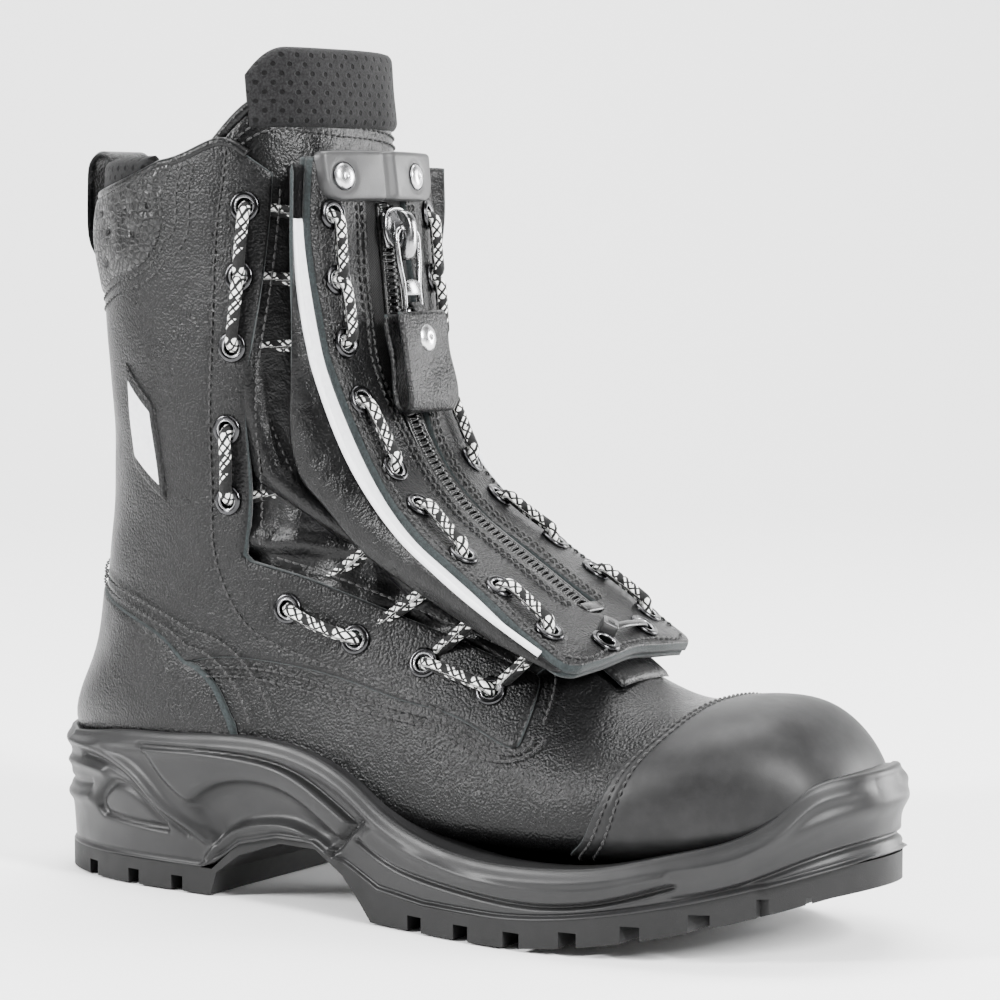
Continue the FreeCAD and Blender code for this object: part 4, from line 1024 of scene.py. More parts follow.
def make_midsole():
    """Closed band of soft polyurethane: outer wall, rolled lip, inner wall."""
    count = 900
    rows = 64
    lower = ring_outline(SOLE_OUTLINE, count)
    upper = ring_outline(RIM_OUTLINE, count)
    x_mid = (lower[:, 0] + upper[:, 0]) / 2
    z_low = parting_height(x_mid) + 0.05
    z_top = line_height(RIM_LINE, x_mid)
    v = np.linspace(0, 1, rows)
    z = z_low[:, None] + (z_top - z_low)[:, None] * v[None]
    w = np.clip((z - 14) / 20, 0, 1)[..., None]
    w = w * w * (3 - 2 * w)
    plan = lower[:, None] * (1 - w) + upper[:, None] * w
    ahead = np.roll(plan, -1, axis=0) - np.roll(plan, 1, axis=0)
    out = np.stack([ahead[..., 1], -ahead[..., 0]], -1)
    out /= np.linalg.norm(out, axis=-1)[..., None]
    middle = plan.mean((0, 1))
    out *= np.sign(((plan - middle) * out).sum(-1).mean())
    flat = np.stack([plan[..., 0].ravel(), z.ravel()], 1)
    relief = side_relief(flat)
    side_on = np.abs(out[..., 1]).ravel()
    relief *= np.clip((side_on - 0.18) / 0.3, 0, 1) * 0.85 + 0.15
    relief += toe_relief(plan[..., 0].ravel(), plan[..., 1].ravel(), z.ravel())
    relief = relief.reshape(count, rows) * 1.6 - 0.8
    bow = np.sin(np.clip((z - 9) / 46, 0, 1) * math.pi)
    wall = plan + out * (relief + 0.7 * bow)[..., None]
    outer = np.concatenate([wall, z[..., None]], -1)
    lip = []
    for angle in (35, 70, 105, 140):
        a = math.radians(angle)
        spot = wall[:, -1] - out[:, -1] * (1.6 * (1 - math.cos(a)))
        lip.append(np.concatenate([spot, (z_top + 1.6 * math.sin(a))[:, None]], -1))
    back = []
    for inset, height in ((4.0, 1.0), (9.0, 0.9), (15.0, 0.5), (21.0, -0.6)):
        spot = wall[:, -1] - out[:, -1] * inset
        back.append(np.concatenate([spot, (z_top + height)[:, None]], -1))
    for inset, share in ((21.0, 0.45), (21.0, 0.0)):
        spot = lower - out[:, 0] * inset
        level = z_low + np.maximum(z_top - z_low - 6, 1) * share
        back.append(np.concatenate([spot, level[:, None]], -1))
    grid = np.concatenate([outer, np.stack(lip + back, 1)], 1)
    n = grid.shape[1]
    faces = []
    for i in range(count):
        k = (i + 1) % count
        for j in range(n):
            m = (j + 1) % n
            faces.append((i * n + j, k * n + j, k * n + m, i * n + m))
    return make_object("midsole_wall", grid.reshape(-1, 3), faces, [M_PU], slot="midsole_pu",
                       stands_for=["midsole"])


make_midsole()


# ---------------------------------------------------------------- upper leather

VAMP_LOW = [(8.7, 103), (9.1, 104), (9.6, 101), (10.1, 108), (10.6, 122), (10.95, 148), (11.5, 152),
            (12.5, 154),
            (13.2, 158)]
VAMP_REAR = [(8.7, 103), (8.2, 98), (7.45, 94), (7.3, 84)]
VAMP_TOP = [(7.3, 84), (7.6, 75), (8.4, 63), (9.45, 57), (10.3, 52), (10.1, 36), (9.9, 18), (9.85, 0)]


def flat_runs(*runs):
    return closed([to_flat(run) for run in runs])


def make_vamp():
    outline = flat_runs(
        VAMP_LOW, [(13.2, 158), (13.25, 80), (13.3, 0), (13.25, -80), (13.2, -158)],
        [(t, -p) for t, p in VAMP_LOW[::-1]], [(t, -p) for t, p in VAMP_REAR],
        [(t, -p) for t, p in VAMP_TOP], VAMP_TOP[::-1], VAMP_REAR[::-1])
    return panel("vamp_leather", outline, lateral, 1.5, -2.1, [M_LEATHER, M_EDGE], "grain_leather",
                 grid=3.0, stands_for=["vamp"])


QUARTER_TOP = [(1.36, 180), (1.36, 150), (1.33, 128), (1.04, 88), (0.93, 77.5), (0.90, 68), (1.01, 58.5),
               (1.16, 48.5)]
QUARTER_FRONT = [(1.20, 46.2), (1.56, 48), (2.62, 57), (3.06, 62.5), (3.87, 70.2), (4.9, 76), (5.86, 79.5),
                 (6.0, 80)]
FACING_TOP = [(6.12, 78.5), (6.52, 66.5), (7.03, 56.2), (7.79, 45.5), (8.52, 39.5), (9.40, 35.5),
              (9.92, 32.6)]
FACING_END = [(9.92, 32.6), (10.14, 33.0), (10.30, 36.2), (10.70, 48.5), (10.92, 56.6)]
QUARTER_SEAM = [(10.92, 56.6), (10.98, 59.4), (10.49, 60.2), (9.49, 62.8), (8.46, 68.2), (7.78, 79.5),
                (7.54, 88.8),
                (7.5, 97), (7.2, 115), (6.7, 150), (6.6, 180)]
SHAFT_EYELETS = [(1.61, 61.5), (2.48, 67), (3.24, 73), (4.23, 80), (5.15, 83.8)]
FOOT_EYELETS = [(7.07, 70.8), (8.02, 57.7), (8.87, 50.8), (9.99, 46.5)]
FACING_STITCH = [(0.94, 68.5), (1.64, 73.5), (2.60, 78.2), (3.57, 82.5), (5.12, 88), (6.35, 86), (7.17, 80),
                 (7.99, 69.5), (9.19, 62.4), (10.0, 59.6)]


def circle(centre, radius, count=18):
    a = np.linspace(0, 2 * math.pi, count, endpoint=False)
    return np.stack([centre[0] + radius * np.cos(a), centre[1] + radius * np.sin(a)], 1)


def local_scale(place, centre):
    """How many mm one flat unit covers in each flat direction at a point."""
    flat = np.array([[centre[0] - 1, centre[1]], [centre[0] + 1, centre[1]],
                     [centre[0], centre[1] - 1], [centre[0], centre[1] + 1]], float)
    p = place(flat, np.zeros(4))
    return np.linalg.norm(p[1] - p[0]) / 2, np.linalg.norm(p[3] - p[2]) / 2


def hole_at(place, centre, radius):
    sx, sy = local_scale(place, centre)
    ring = circle((0, 0), radius)
    return ring / [sx, sy] + centre


def offset_line(line, d, step=2.0):
    """A flat line moved sideways by d."""
    p = smooth(line, step)
    ahead = np.gradient(p, axis=0)
    side = np.stack([-ahead[:, 1], ahead[:, 0]], 1)
    side /= np.linalg.norm(side, axis=1)[:, None]
    return p + side * d


def make_quarter(side_name, place):
    outline = flat_runs(QUARTER_TOP, QUARTER_FRONT, FACING_TOP, FACING_END, QUARTER_SEAM,
                        [(6.6, 180), (1.36, 180)])
    spots = to_flat(SHAFT_EYELETS + FOOT_EYELETS)
    holes = [hole_at(place, c, 3.1) for c in spots]
    seam = np.array(to_flat(QUARTER_SEAM[:7]))
    front = np.array(to_flat(QUARTER_FRONT))
    facing = np.array(to_flat(FACING_TOP))
    tip = np.array(to_flat(FACING_END))
    lines = [smooth(to_flat(FACING_STITCH), 2.0)]
    lines.append(offset_line(seam, -2.6))
    lines.append(offset_line(seam, -5.4))
    lines.append(offset_line(front, -3.0)[2:-1])
    lines.append(offset_line(np.concatenate([facing, tip[1:]]), -3.4)[2:-2])
    grooves = [(line, 0.9, 0.22) for line in lines]
    body = panel("quarter_leather_" + side_name, outline, place, 1.9, -1.1, [M_LEATHER, M_EDGE],
                 "grain_leather",
                 bevel=1.1, grid=2.2, holes=holes, grooves=grooves, skirt=0.9,
                 stands_for=["quarter_" + side_name, "shaft_facing_" + side_name,
                             "instep_facing_" + side_name])
    thread = Parts()
    for line in lines:
        stitches(thread, line, place, 0.62)
    thread.build("quarter_stitching_" + side_name, [M_THREAD], slot="grain_leather")
    return body


HEEL_TOP = [(5.9, 180), (5.95, 165), (6.08, 151), (6.62, 114), (7.02, 99.5), (7.54, 89.5), (8.10, 86.2),
            (8.53, 88.5),
            (8.86, 92.5), (9.05, 100)]
HEEL_LOW = [(9.05, 100), (8.9, 110), (8.65, 130), (8.45, 155), (8.4, 180)]


def make_heel_cover():
    top = HEEL_TOP[::-1]
    outline = flat_runs(top + [(t, 360 - p) for t, p in HEEL_TOP[1:]],
                        [(t, 360 - p) for t, p in HEEL_LOW[:-1]] + HEEL_LOW[::-1])
    near = np.array(to_flat(top[1:]))
    lines = []
    for d in (2.4, 5.4):
        lines.append(offset_line(near, d)[2:])
        lines.append(offset_line(np.array(to_flat([(t, 360 - p) for t, p in top[1:]])), -d)[2:])
    grooves = [(line, 0.9, 0.22) for line in lines]
    panel("heel_cover_leather", outline, lateral, 1.7, 0.2, [M_LEATHER, M_EDGE], "grain_leather", grid=2.8,
          grooves=grooves, skirt=1.0, stands_for=["heel_cover"])
    thread = Parts()
    for line in lines:
        stitches(thread, line, lateral, 1.72)
    thread.build("heel_cover_stitching", [M_THREAD], slot="grain_leather")


TOE_TOP = [(12.5, 152), (12.46, 143.8), (12.61, 104), (12.61, 81), (12.58, 57.7), (12.70, 36.5),
           (12.76, 9.2), (12.77, 0)]
TOE_LOW = [(12.5, 152), (13.4, 158), (14.0, 150), (14.8, 143), (15.5, 122), (16.2, 97), (16.9, 72),
           (17.45, 35), (17.6, 0)]


def make_toe_cover():
    edge = TOE_TOP + [(t, -p) for t, p in TOE_TOP[-2::-1]]
    outline = flat_runs(edge, [(t, -p) for t, p in TOE_LOW] + TOE_LOW[-2::-1])
    line = np.array(to_flat(edge))
    rows = [offset_line(line, 2.6), offset_line(line, 6.0)]
    if rows[0][:, 0].mean() < line[:, 0].mean():
        rows = [offset_line(line, -2.6), offset_line(line, -6.0)]
    grooves = [(row, 0.8, 0.28) for row in rows]
    panel("toe_cover_coated", outline, lateral, 1.6, -0.9, [M_TOE, M_EDGE], "toe_coating", bevel=1.0,
          grid=2.6,
          grooves=grooves, skirt=0.8, stands_for=["toe_cover"],
          shape=lambda flat: -0.35 * np.exp(-(distance(flat,
                                                       offset_line(line,
                                                           1.2 * np.sign(rows[0][:, 0].mean() - line[:,
                                                               0].mean())), False) / 0.7) ** 2))
    thread = Parts()
    for row in rows:
        stitches(thread, row, lateral, 0.55, pitch=2.9, radius=0.4)
    thread.build("toe_cover_stitching", [M_THREAD], slot="toe_coating")


PATCH_EDGE = [(1.04, 87.8), (1.32, 89.8), (1.82, 90.5), (2.06, 92.8), (2.28, 98.5), (2.45, 118), (2.62, 143),
              (2.68, 162),
              (2.7, 180)]
PATCH_TOP = [(1.40, 180), (1.40, 150), (1.37, 128), (1.15, 98), (1.04, 87.8)]


def make_collar_patch():
    edge = PATCH_EDGE + [(t, 360 - p) for t, p in PATCH_EDGE[-2::-1]]
    top = [(t, 360 - p) for t, p in PATCH_TOP[::-1]] + PATCH_TOP[1:]
    outline = flat_runs(edge, top)
    pores = [(1.55, 96), (1.62, 108), (1.95, 104), (1.9, 121), (2.3, 126), (1.62, 128)]
    pores += [(t, 360 - p) for t, p in pores]
    holes = [hole_at(lateral, c, 0.75)[::2] for c in to_flat(pores)]
    panel("collar_patch", outline, lateral, 0.9, 0.75, [M_SCALY, M_SCALY], "patch_leather", bevel=1.6,
          grid=2.6,
          holes=holes, puff=1.3, puff_reach=7, skirt=0.5,
          stands_for=["collar_patch_lateral", "collar_patch_medial"])
    thread = Parts()
    line = np.array(to_flat(PATCH_EDGE))
    far = np.array(to_flat([(t, 360 - p) for t, p in PATCH_EDGE]))
    for d in (1.8, 4.6):
        sign = 1 if offset_line(line, d)[:, 1].mean() < line[:, 1].mean() else -1
        stitches(thread, offset_line(line, sign * d), lateral, 0.68)
        stitches(thread, offset_line(far, -sign * d), lateral, 0.68)
    thread.build("collar_patch_stitching", [M_THREAD], slot="grain_leather")


def make_mark(side_name, place):
    """Plain slanted reflective mark with a raised leather border."""
    corners = [(3.40, 119), (4.60, 119.5), (5.10, 103), (3.90, 102.5)]
    border = flat_runs(*[[corners[i], corners[(i + 1) % 4]] for i in range(4)])
    centre = border.mean(0)
    panel("mark_border_" + side_name, border, place, 0.9, 0.7, [M_LEATHER, M_LEATHER], "grain_leather",
          bevel=0.7,
          grid=2.4, skirt=0.3)
    inner = centre + (border - centre) * 0.74
    panel("mark_film_" + side_name, inner, place, 0.25, 1.55, [M_REFLECT, M_REFLECT], "reflective_tape",
          bevel=0.3,
          grid=2.4, skirt=0.3, stands_for=["reflective_mark_" + side_name])


for side_name, place in (("lateral", lateral), ("medial", medial)):
    make_quarter(side_name, place)
    make_mark(side_name, place)
make_vamp()
make_heel_cover()
make_toe_cover()
make_collar_patch()


# ---------------------------------------------------------------- zip insert

ZIP_END = 208.5
INSERT_PLAN = [
    [(2, -33.5), (12, -35.5), (24, -37), (44, -36.5), (64, -34.5), (89, -31), (123, -33), (149, -36.5),
     (165, -37.5),
     (186, -40), (200, -40)],
    [(200, -40), (206, -38.6), (209, -34)],
    [(209, -34), (209.4, -15), (208.4, 0), (209.4, 15), (209, 34)],
    [(209, 34), (206, 38.6), (200, 40)],
    [(200, 40), (186, 40), (165, 37.5), (149, 36.5), (123, 33), (89, 31), (64, 34.5), (44, 36.5), (24, 37),
     (12, 35.5), (2, 33.5)],
    [(2, 33.5), (2, -33.5)],
]
SLOT_PLAN = [
    [(15, -11), (70, -11), (84, -8.5), (97, -6.6), (182, -6.2)],
    [(182, -6.2), (188, -4.6), (188, 4.6), (182, 6.2)],
    [(182, 6.2), (97, 6.6), (84, 8.5), (70, 11), (15, 11)],
    [(15, 11), (13.6, 6), (13.6, -6), (15, -11)],
]
EYELET_RUNS = [(21.2, 28), (43, 28), (64, 26.8), (83.5, 25), (109, 23), (125, 24), (150, 28), (168, 29.5),
               (191.5, 31)]
END_EYELETS = [(203, -14), (199.5, 15.5)]


def insert_leaf(flat, off):
    """The insert's own face, a little wavy."""
    base = zip_point(flat[:, 0], flat[:, 1], 0)
    return zip_point(flat[:, 0], flat[:, 1], off + 0.22 * ripple(base, 8, (16, 40), 10))


def make_insert():
    outline = closed(INSERT_PLAN)
    slot_hole = closed(SLOT_PLAN, 2.0)
    spots = [(s, side * y) for s, y in EYELET_RUNS for side in (-1, 1)] + END_EYELETS
    holes = [hole_at(insert_leaf, c, 3.0) for c in spots] + [slot_hole]
    lines = []
    for d in (2.4, 5.0):
        left = offset_line(np.array(SLOT_PLAN[0] + SLOT_PLAN[1][1:3], float), d)
        if abs(left[:, 1]).mean() < 9.0:
            left = offset_line(np.array(SLOT_PLAN[0] + SLOT_PLAN[1][1:3], float), -d)
        left = left[left[:, 0] < 186.5]
        lines += [left, left * [1, -1]]
    for side in (-1, 1):
        near = [p for p in INSERT_PLAN[0]] if side < 0 else [(a, -b) for a, b in INSERT_PLAN[0]]
        lines.append(np.array([(a, b - side * 3.0) for a, b in near[2:]], float))
    lines.append(np.array([(203, -36.5), (206.2, -32), (206.4, -18), (205.6, 0), (206.4, 18), (206.2, 32),
                           (203, 36.5)], float))
    grooves = [(line, 0.8, 0.18) for line in lines]
    panel("zip_insert_leather", outline, insert_leaf, 2.2, -2.2, [M_LEATHER, M_EDGE], "grain_leather",
          bevel=0.9,
          grid=2.2, holes=holes, grooves=grooves, skirt=1.1, stands_for=["zip_insert"])
    under = outline.copy()
    under = under * [1, 0.985] - [0.6, 0]
    under_hole = [slot_hole * [1, 0.9]]
    panel("zip_insert_underlay", under, insert_leaf, 2.2, -4.6, [M_SUEDE, M_EDGE], "grain_leather", bevel=0.7,
          grid=4.0, holes=under_hole, skirt=1.2)
    thread = Parts()
    for line in lines:
        stitches(thread, line, insert_leaf, 0.02)
    thread.build("zip_insert_stitching", [M_THREAD], slot="grain_leather")


def eyelet_profile(outer, hole, rise):
    """Rolled ring with a short barrel through the leather."""
    mid = (outer + hole) / 2
    half = (outer - hole) / 2
    a = np.linspace(0, math.pi, 13)
    top = [(mid + half * math.cos(x), rise * math.sin(x) ** 0.8) for x in a]
    return top + [(hole, -2.6), (hole + 0.45, -2.6), (hole + 0.5, -0.3), (outer - 0.4, -0.3)]


def make_eyelets(name, place, spots, off, stands_for, outer=5.2):
    parts = Parts()
    for k, spot in enumerate(spots):
        flat = np.array([spot], float)
        centre = place(flat, np.array([off]))[0]
        normal = surface_normal(place, flat, off)[0]
        local = np.random.default_rng(100 + k)
        tilt = normal + local.normal(size=3) * 0.02
        points, faces = lathe(eyelet_profile(outer, 2.85, 1.15), centre, tilt)
        parts.add(points, faces)
        # The thin inner ring takes the lighter rim metal: a painted highlight along the rolled edge.
        points, faces = lathe([(2.78, 0.05), (2.95, 0.85), (3.35, 1.0), (3.45, 0.6), (3.1, 0.2)], centre,
                              tilt)
        parts.add(points, faces, mark=1)
    return parts.build(name, [M_GUNMETAL, M_RIM_PAINTED_HIGHLIGHT], slot="gunmetal", stands_for=stands_for)


make_insert()
for side, side_name in ((-1, "lateral"), (1, "medial")):
    spots = [(s, side * y) for s, y in EYELET_RUNS] + [END_EYELETS[0 if side < 0 else 1]]
    make_eyelets("insert_eyelets_" + side_name, insert_leaf, spots, 0.1, ["insert_eyelets_" + side_name])
for place, side_name in ((lateral, "lateral"), (medial, "medial")):
    make_eyelets("quarter_eyelets_" + side_name, place, to_flat(SHAFT_EYELETS + FOOT_EYELETS), 0.85,
                 ["quarter_eyelets_" + side_name])


# ---------------------------------------------------------------- leather leaf and piping under the insert

PIPING = [(22, 41.0), (36, 41.4), (59, 40.0), (80, 37.3), (98.5, 36.8), (125, 38.4), (150, 42.0),
          (174, 42.6), (197, 40.6)]
LEAF_EDGE = [(-36.4, 45, 247), (-37, 44.6, 226), (-38, 43.8, 203), (-39.6, 42, 176), (-41, 40.2, 154.6),
             (-37.8, 39.4, 143.6),
             (-29, 38.6, 135), (-22, 38.2, 127.5), (-12, 37.6, 118.7), (-2, 37.4, 113), (19.7, 38.2, 102.6),
             (46.5, 39.5, 91.5),
             (62, 39.5, 86)]


def make_leaf(side, side_name):
    """Soft leather leaf rolled out from under the insert; the reflective piping lies in its seam."""
    rows = 110
    cols = 22
    near = smooth([(4, 39.5)] + PIPING + [(206, 39.5)], 1.0)
    seam_run = np.linspace(4, 206, rows)
    seam = zip_point(seam_run, side * (np.interp(seam_run, near[:, 0], near[:, 1]) - 0.4), -3.4)
    root = zip_point(seam_run, side * 30.0, -5.4)
    edge = smooth([(x, side * y, z) for x, y, z in LEAF_EDGE], 1.0)
    run = np.r_[0, np.cumsum(np.linalg.norm(np.diff(edge, axis=0), axis=1))]
    share = np.linspace(0, 1, rows)
    edge = np.stack([np.interp(share * run[-1], run, edge[:, k]) for k in range(3)], 1)
    u = np.linspace(0, 1, cols)[None, :, None]
    outward = np.array([0.35, side * 1.0, 0.15])
    outward /= np.linalg.norm(outward)
    inner = np.clip(u / 0.25, 0, 1)
    outer = np.clip((u - 0.25) / 0.75, 0, 1)
    grid = root[:, None] + (seam - root)[:, None] * inner
    reach = np.linalg.norm(edge - seam, axis=1)[:, None, None]
    grid = grid + (edge - seam)[:, None] * outer + outward * np.sin(outer * math.pi) * np.clip(reach, 0,
        30) * 0.10
    flat = grid.reshape(-1, 3)
    wave = ripple(flat, 21 + side, (18, 55), 12).reshape(rows, cols, 1) * 0.5 * outer
    sheet("insert_wing_leather_" + side_name, grid + outward * wave, 1.3, [M_SOFT, M_EDGE], "soft_leather",
          bevel=0.7,
          stands_for=["insert_wing_" + side_name])
    run = smooth(PIPING, 1.5)
    path = zip_point(run[:, 0], side * run[:, 1], -2.4)
    points, faces, uv = tube(path, 1.15, around=14)
    parts = Parts()
    parts.add(points, faces, uv=uv)
    flap = np.stack([zip_point(run[:, 0], side * (run[:, 1] - k * 1.6), -3.0 - 0.1 * k) for k in range(6)], 1)
    parts.build("reflective_piping_cord_" + side_name, [M_REFLECT], slot="reflective_tape",
                stands_for=["reflective_piping_" + side_name])
    sheet("piping_seam_allowance_" + side_name, flap, 0.6, [M_REFLECT], "reflective_tape", bevel=0.5)


for side, side_name in ((-1, "lateral"), (1, "medial")):
    make_leaf(side, side_name)


# ---------------------------------------------------------------- zip

def make_zip():
    for side, side_name in ((-1, "lateral"), (1, "medial")):
        s = np.arange(6.0, 191.0, 1.2)
        y = np.array([0.75, 2.4, 4.2, 6.0, 8.0, 10.2, 12.0])
        grid = zip_point(np.repeat(s[:, None], len(y), 1), side * y, -2.6 + 0 * y)
        sheet("zip_tape_cloth_" + side_name, grid, 0.9, [M_TAPE], "zip_tape", bevel=0.4,
              stands_for=["zip_tape_" + side_name])
        coil = Parts()
        pitch = 2.3
        for n in range(int((184.5 - 18.4) / pitch)):
            s0 = 18.6 + n * pitch + (pitch / 2 if side > 0 else 0)
            a = np.linspace(0, 1, 11)
            swing = np.sin(a * math.pi)
            y_line = side * (4.4 - 4.35 * swing ** 0.7)
            lift = -1.9 + 1.75 * np.sin(np.clip(a * 1.0, 0, 1) * math.pi) ** 0.6
            path = zip_point(s0 - 0.5 + 1.0 * a, y_line, lift)
            points, faces, uv = tube(path, 0.52, around=7)
            coil.add(points, faces)
        spine = np.arange(18.3, 185.0, 1.5)
        points, faces, uv = tube(zip_point(spine, side * 4.3, -1.5), 0.75, around=8)
        coil.add(points, faces)
        points, faces, uv = tube(zip_point(spine, side * 2.3, -1.75), 0.7, around=8)
        coil.add(points, faces)
        coil.build("zip_coil_" + side_name, [M_COIL], slot="zip_coil", stands_for=["zip_teeth_" + side_name])


def block(size, bevel, at, turn=None):
    """Points and faces of a softly rounded block."""
    hx, hy, hz = [k / 2 for k in size]
    rows = []
    for z, inset in ((-hz, bevel), (-hz + bevel * 0.3, bevel * 0.3), (-hz + bevel, 0), (hz - bevel, 0),
                     (hz - bevel * 0.3, bevel * 0.3), (hz, bevel)):
        ring = []
        r = max(bevel * 1.2, 0.05)
        for cx, cy, a0 in ((1, 1, 0), (-1, 1, 90), (-1, -1, 180), (1, -1, 270)):
            for a in np.radians(np.linspace(a0, a0 + 90, 5)):
                ring.append((cx * (hx - r) + (r - inset * 0.7) * math.cos(a),
                             cy * (hy - r) + (r - inset * 0.7) * math.sin(a), z))
        rows.append(ring)
    points = np.array(rows).reshape(-1, 3)
    n = 20
    faces = [(i * n + j, i * n + (j + 1) % n, (i + 1) * n + (j + 1) % n, (i + 1) * n + j)
             for i in range(5) for j in range(n)]
    faces.append(tuple(range(n))[::-1])
    faces.append(tuple(5 * n + j for j in range(n)))
    if turn is not None:
        points = points @ np.asarray(turn).T
    return points + at, faces


def zip_frame(s):
    """Rotation whose columns run along the zip, across it and out of it."""
    a = zip_point(s - 0.5, 0, 0)
    b = zip_point(s + 0.5, 0, 0)
    along = (b - a) / np.linalg.norm(b - a)
    out = np.array([zip_line(s)[1][0], 0, zip_line(s)[1][1]])
    return np.stack([along, np.array([0, 1.0, 0]), out], 1)


def at_zip(s, points):
    """Local (along, across, out) points at a place on the zip into the row frame."""
    return zip_point(s, 0, 0) + np.asarray(points, float) @ zip_frame(s).T


def make_bottom_stop():
    parts = Parts()
    points, faces = block((4.6, 10.5, 3.0), 0.9, np.zeros(3))
    parts.add(at_zip(186.5, points + [0, 0, -0.9]), faces)
    parts.build("zip_bottom_stop_block", [M_COIL], slot="zip_coil", stands_for=["zip_bottom_stop"])


make_zip()
make_bottom_stop()


# ---------------------------------------------------------------- laces

def outside_lace(parts, place, a, b, off, top=2.9):
    """A lace length over the face between two eyelets."""
    a = np.array(a, float)
    b = np.array(b, float)
    u = np.linspace(0, 1, 26)
    rise = np.clip(u / 0.16, 0, 1) * np.clip((1 - u) / 0.16, 0, 1)
    height = -3.4 + (top + 3.4) * np.sin(rise * math.pi / 2) ** 0.8
    flat = a + (b - a) * (0.0 + 1.0 * np.clip((u - 0.03) / 0.94, 0, 1))[:, None]
    path = place(flat, off + height)
    points, faces, uv = tube(path, 2.05, around=14)
    parts.add(points, faces, uv=uv * [1.0, 1.0])


def bridge(parts, start, end, sag, out, radius=2.2):
    """A lace length across the gap, from under one edge to under the other."""
    start = np.array(start, float)
    end = np.array(end, float)
    u = np.linspace(0, 1, 30)[:, None]
    path = start + (end - start) * u + np.asarray(out) * (np.sin(u * math.pi) * sag)
    points, faces, uv = tube(path, radius, around=14)
    parts.add(points, faces, uv=uv)


def make_laces(side, side_name, place):
    parts = Parts()
    shaft = to_flat(SHAFT_EYELETS)
    foot = to_flat(FOOT_EYELETS)
    for a, b in ((0, 1), (1, 2), (3, 4)):
        outside_lace(parts, place, shaft[a], shaft[b], 0.9)
    for a, b in ((0, 1), (2, 3)):
        outside_lace(parts, place, foot[a], foot[b], 0.9)
    front = [(s, side * y) for s, y in EYELET_RUNS]
    for a, b in ((0, 1), (1, 2), (3, 4), (5, 6), (7, 8)):
        outside_lace(parts, insert_leaf, front[a], front[b], 0.1)

    def under(place_of, flat, off):
        return place_of(np.array([flat], float), np.array([off]))[0]

    links = [(0, 0), (1, 1), (2, 2), (3, 3), (4, 4), (5, 5), (6, 6), (7, 7), (8, 8)]
    rear = shaft + foot
    for i, j in links:
        a = under(place, rear[i], -3.2)
        b = under(insert_leaf, front[j], -5.0)
        middle = (a + b) / 2
        out = middle - np.array([middle[0] * 0.0 - 70.0, 0, middle[2]])
        out = out / np.linalg.norm(out)
        bridge(parts, a, b, 1.0, out)
    parts.build("lace_cord_" + side_name, [M_LACE], slot="lace_cord", stands_for=["lace_" + side_name])


for side, side_name, place in ((-1, "lateral", lateral), (1, "medial", medial)):
    make_laces(side, side_name, place)


# ---------------------------------------------------------------- tongue, gussets and pads

def tongue_top(phi):
    """t of the tongue's top edge at an angle."""
    line = smooth([(-80, 1.0), (-66, 0.80), (-45, 0.70), (-20, 0.655), (5, 0.61), (30, 0.565), (50, 0.58),
                   (66, 0.74), (80, 1.0)], 2.0)
    return np.interp(phi, line[:, 0], line[:, 1])


def make_tongue():
    rows = 110
    cols = 60
    v = np.linspace(0, 1, rows)[:, None]
    half = np.interp(v[:, 0], [0, 0.02, 0.44, 0.52, 0.62, 1.0], [74, 78, 76, 60, 44, 34])[:, None]
    u = np.linspace(-1, 1, cols)[None]
    phi = half * u
    t = tongue_top(phi) + (9.9 - tongue_top(phi)) * v
    ridge = 3.2 * np.exp(-((np.abs(u) - 0.90) / 0.07) ** 2) * np.clip((0.95 - v) / 0.3, 0,
        1) * np.clip((v - 0.05) / 0.1, 0, 1)
    off = -3.4 + ridge + 0 * phi
    base = foot_point(t, phi, off)
    crease = ripple(base.reshape(-1, 3), 31, (10, 34), 18).reshape(rows, cols)
    off = off + 0.7 * crease * np.clip((v - 0.3) / 0.2, 0, 1)
    grid = foot_point(t, phi, off)
    sheet("tongue_leather", grid, 2.4, [M_SOFT, M_EDGE], "soft_leather", bevel=1.0, stands_for=["tongue"])
    binding = Parts()
    edge = np.linspace(-76, 76, 90)
    path = foot_point(tongue_top(edge) + 0.01, edge, -3.3 + 0 * edge)
    points, faces, uv = tube(path, 1.9, around=12)
    binding.add(points, faces)
    binding.build("tongue_binding", [M_SOFT], slot="soft_leather")
    thread = Parts()
    for d in (0.16, 0.24):
        line = [((tongue_top(p) + d) * T_MM, p * PHI_MM) for p in np.linspace(-70, 70, 40)]
        stitches(thread, line, lateral, -2.15)
    for side in (-1, 1):
        line = [(t * T_MM, side * p * PHI_MM) for t,
                p in [(1.1, 62), (2.2, 64), (3.2, 63.5), (4.2, 62), (4.9, 59)]]
        stitches(thread, line, lateral, -2.1)
    thread.build("tongue_stitching", [M_THREAD], slot="soft_leather")


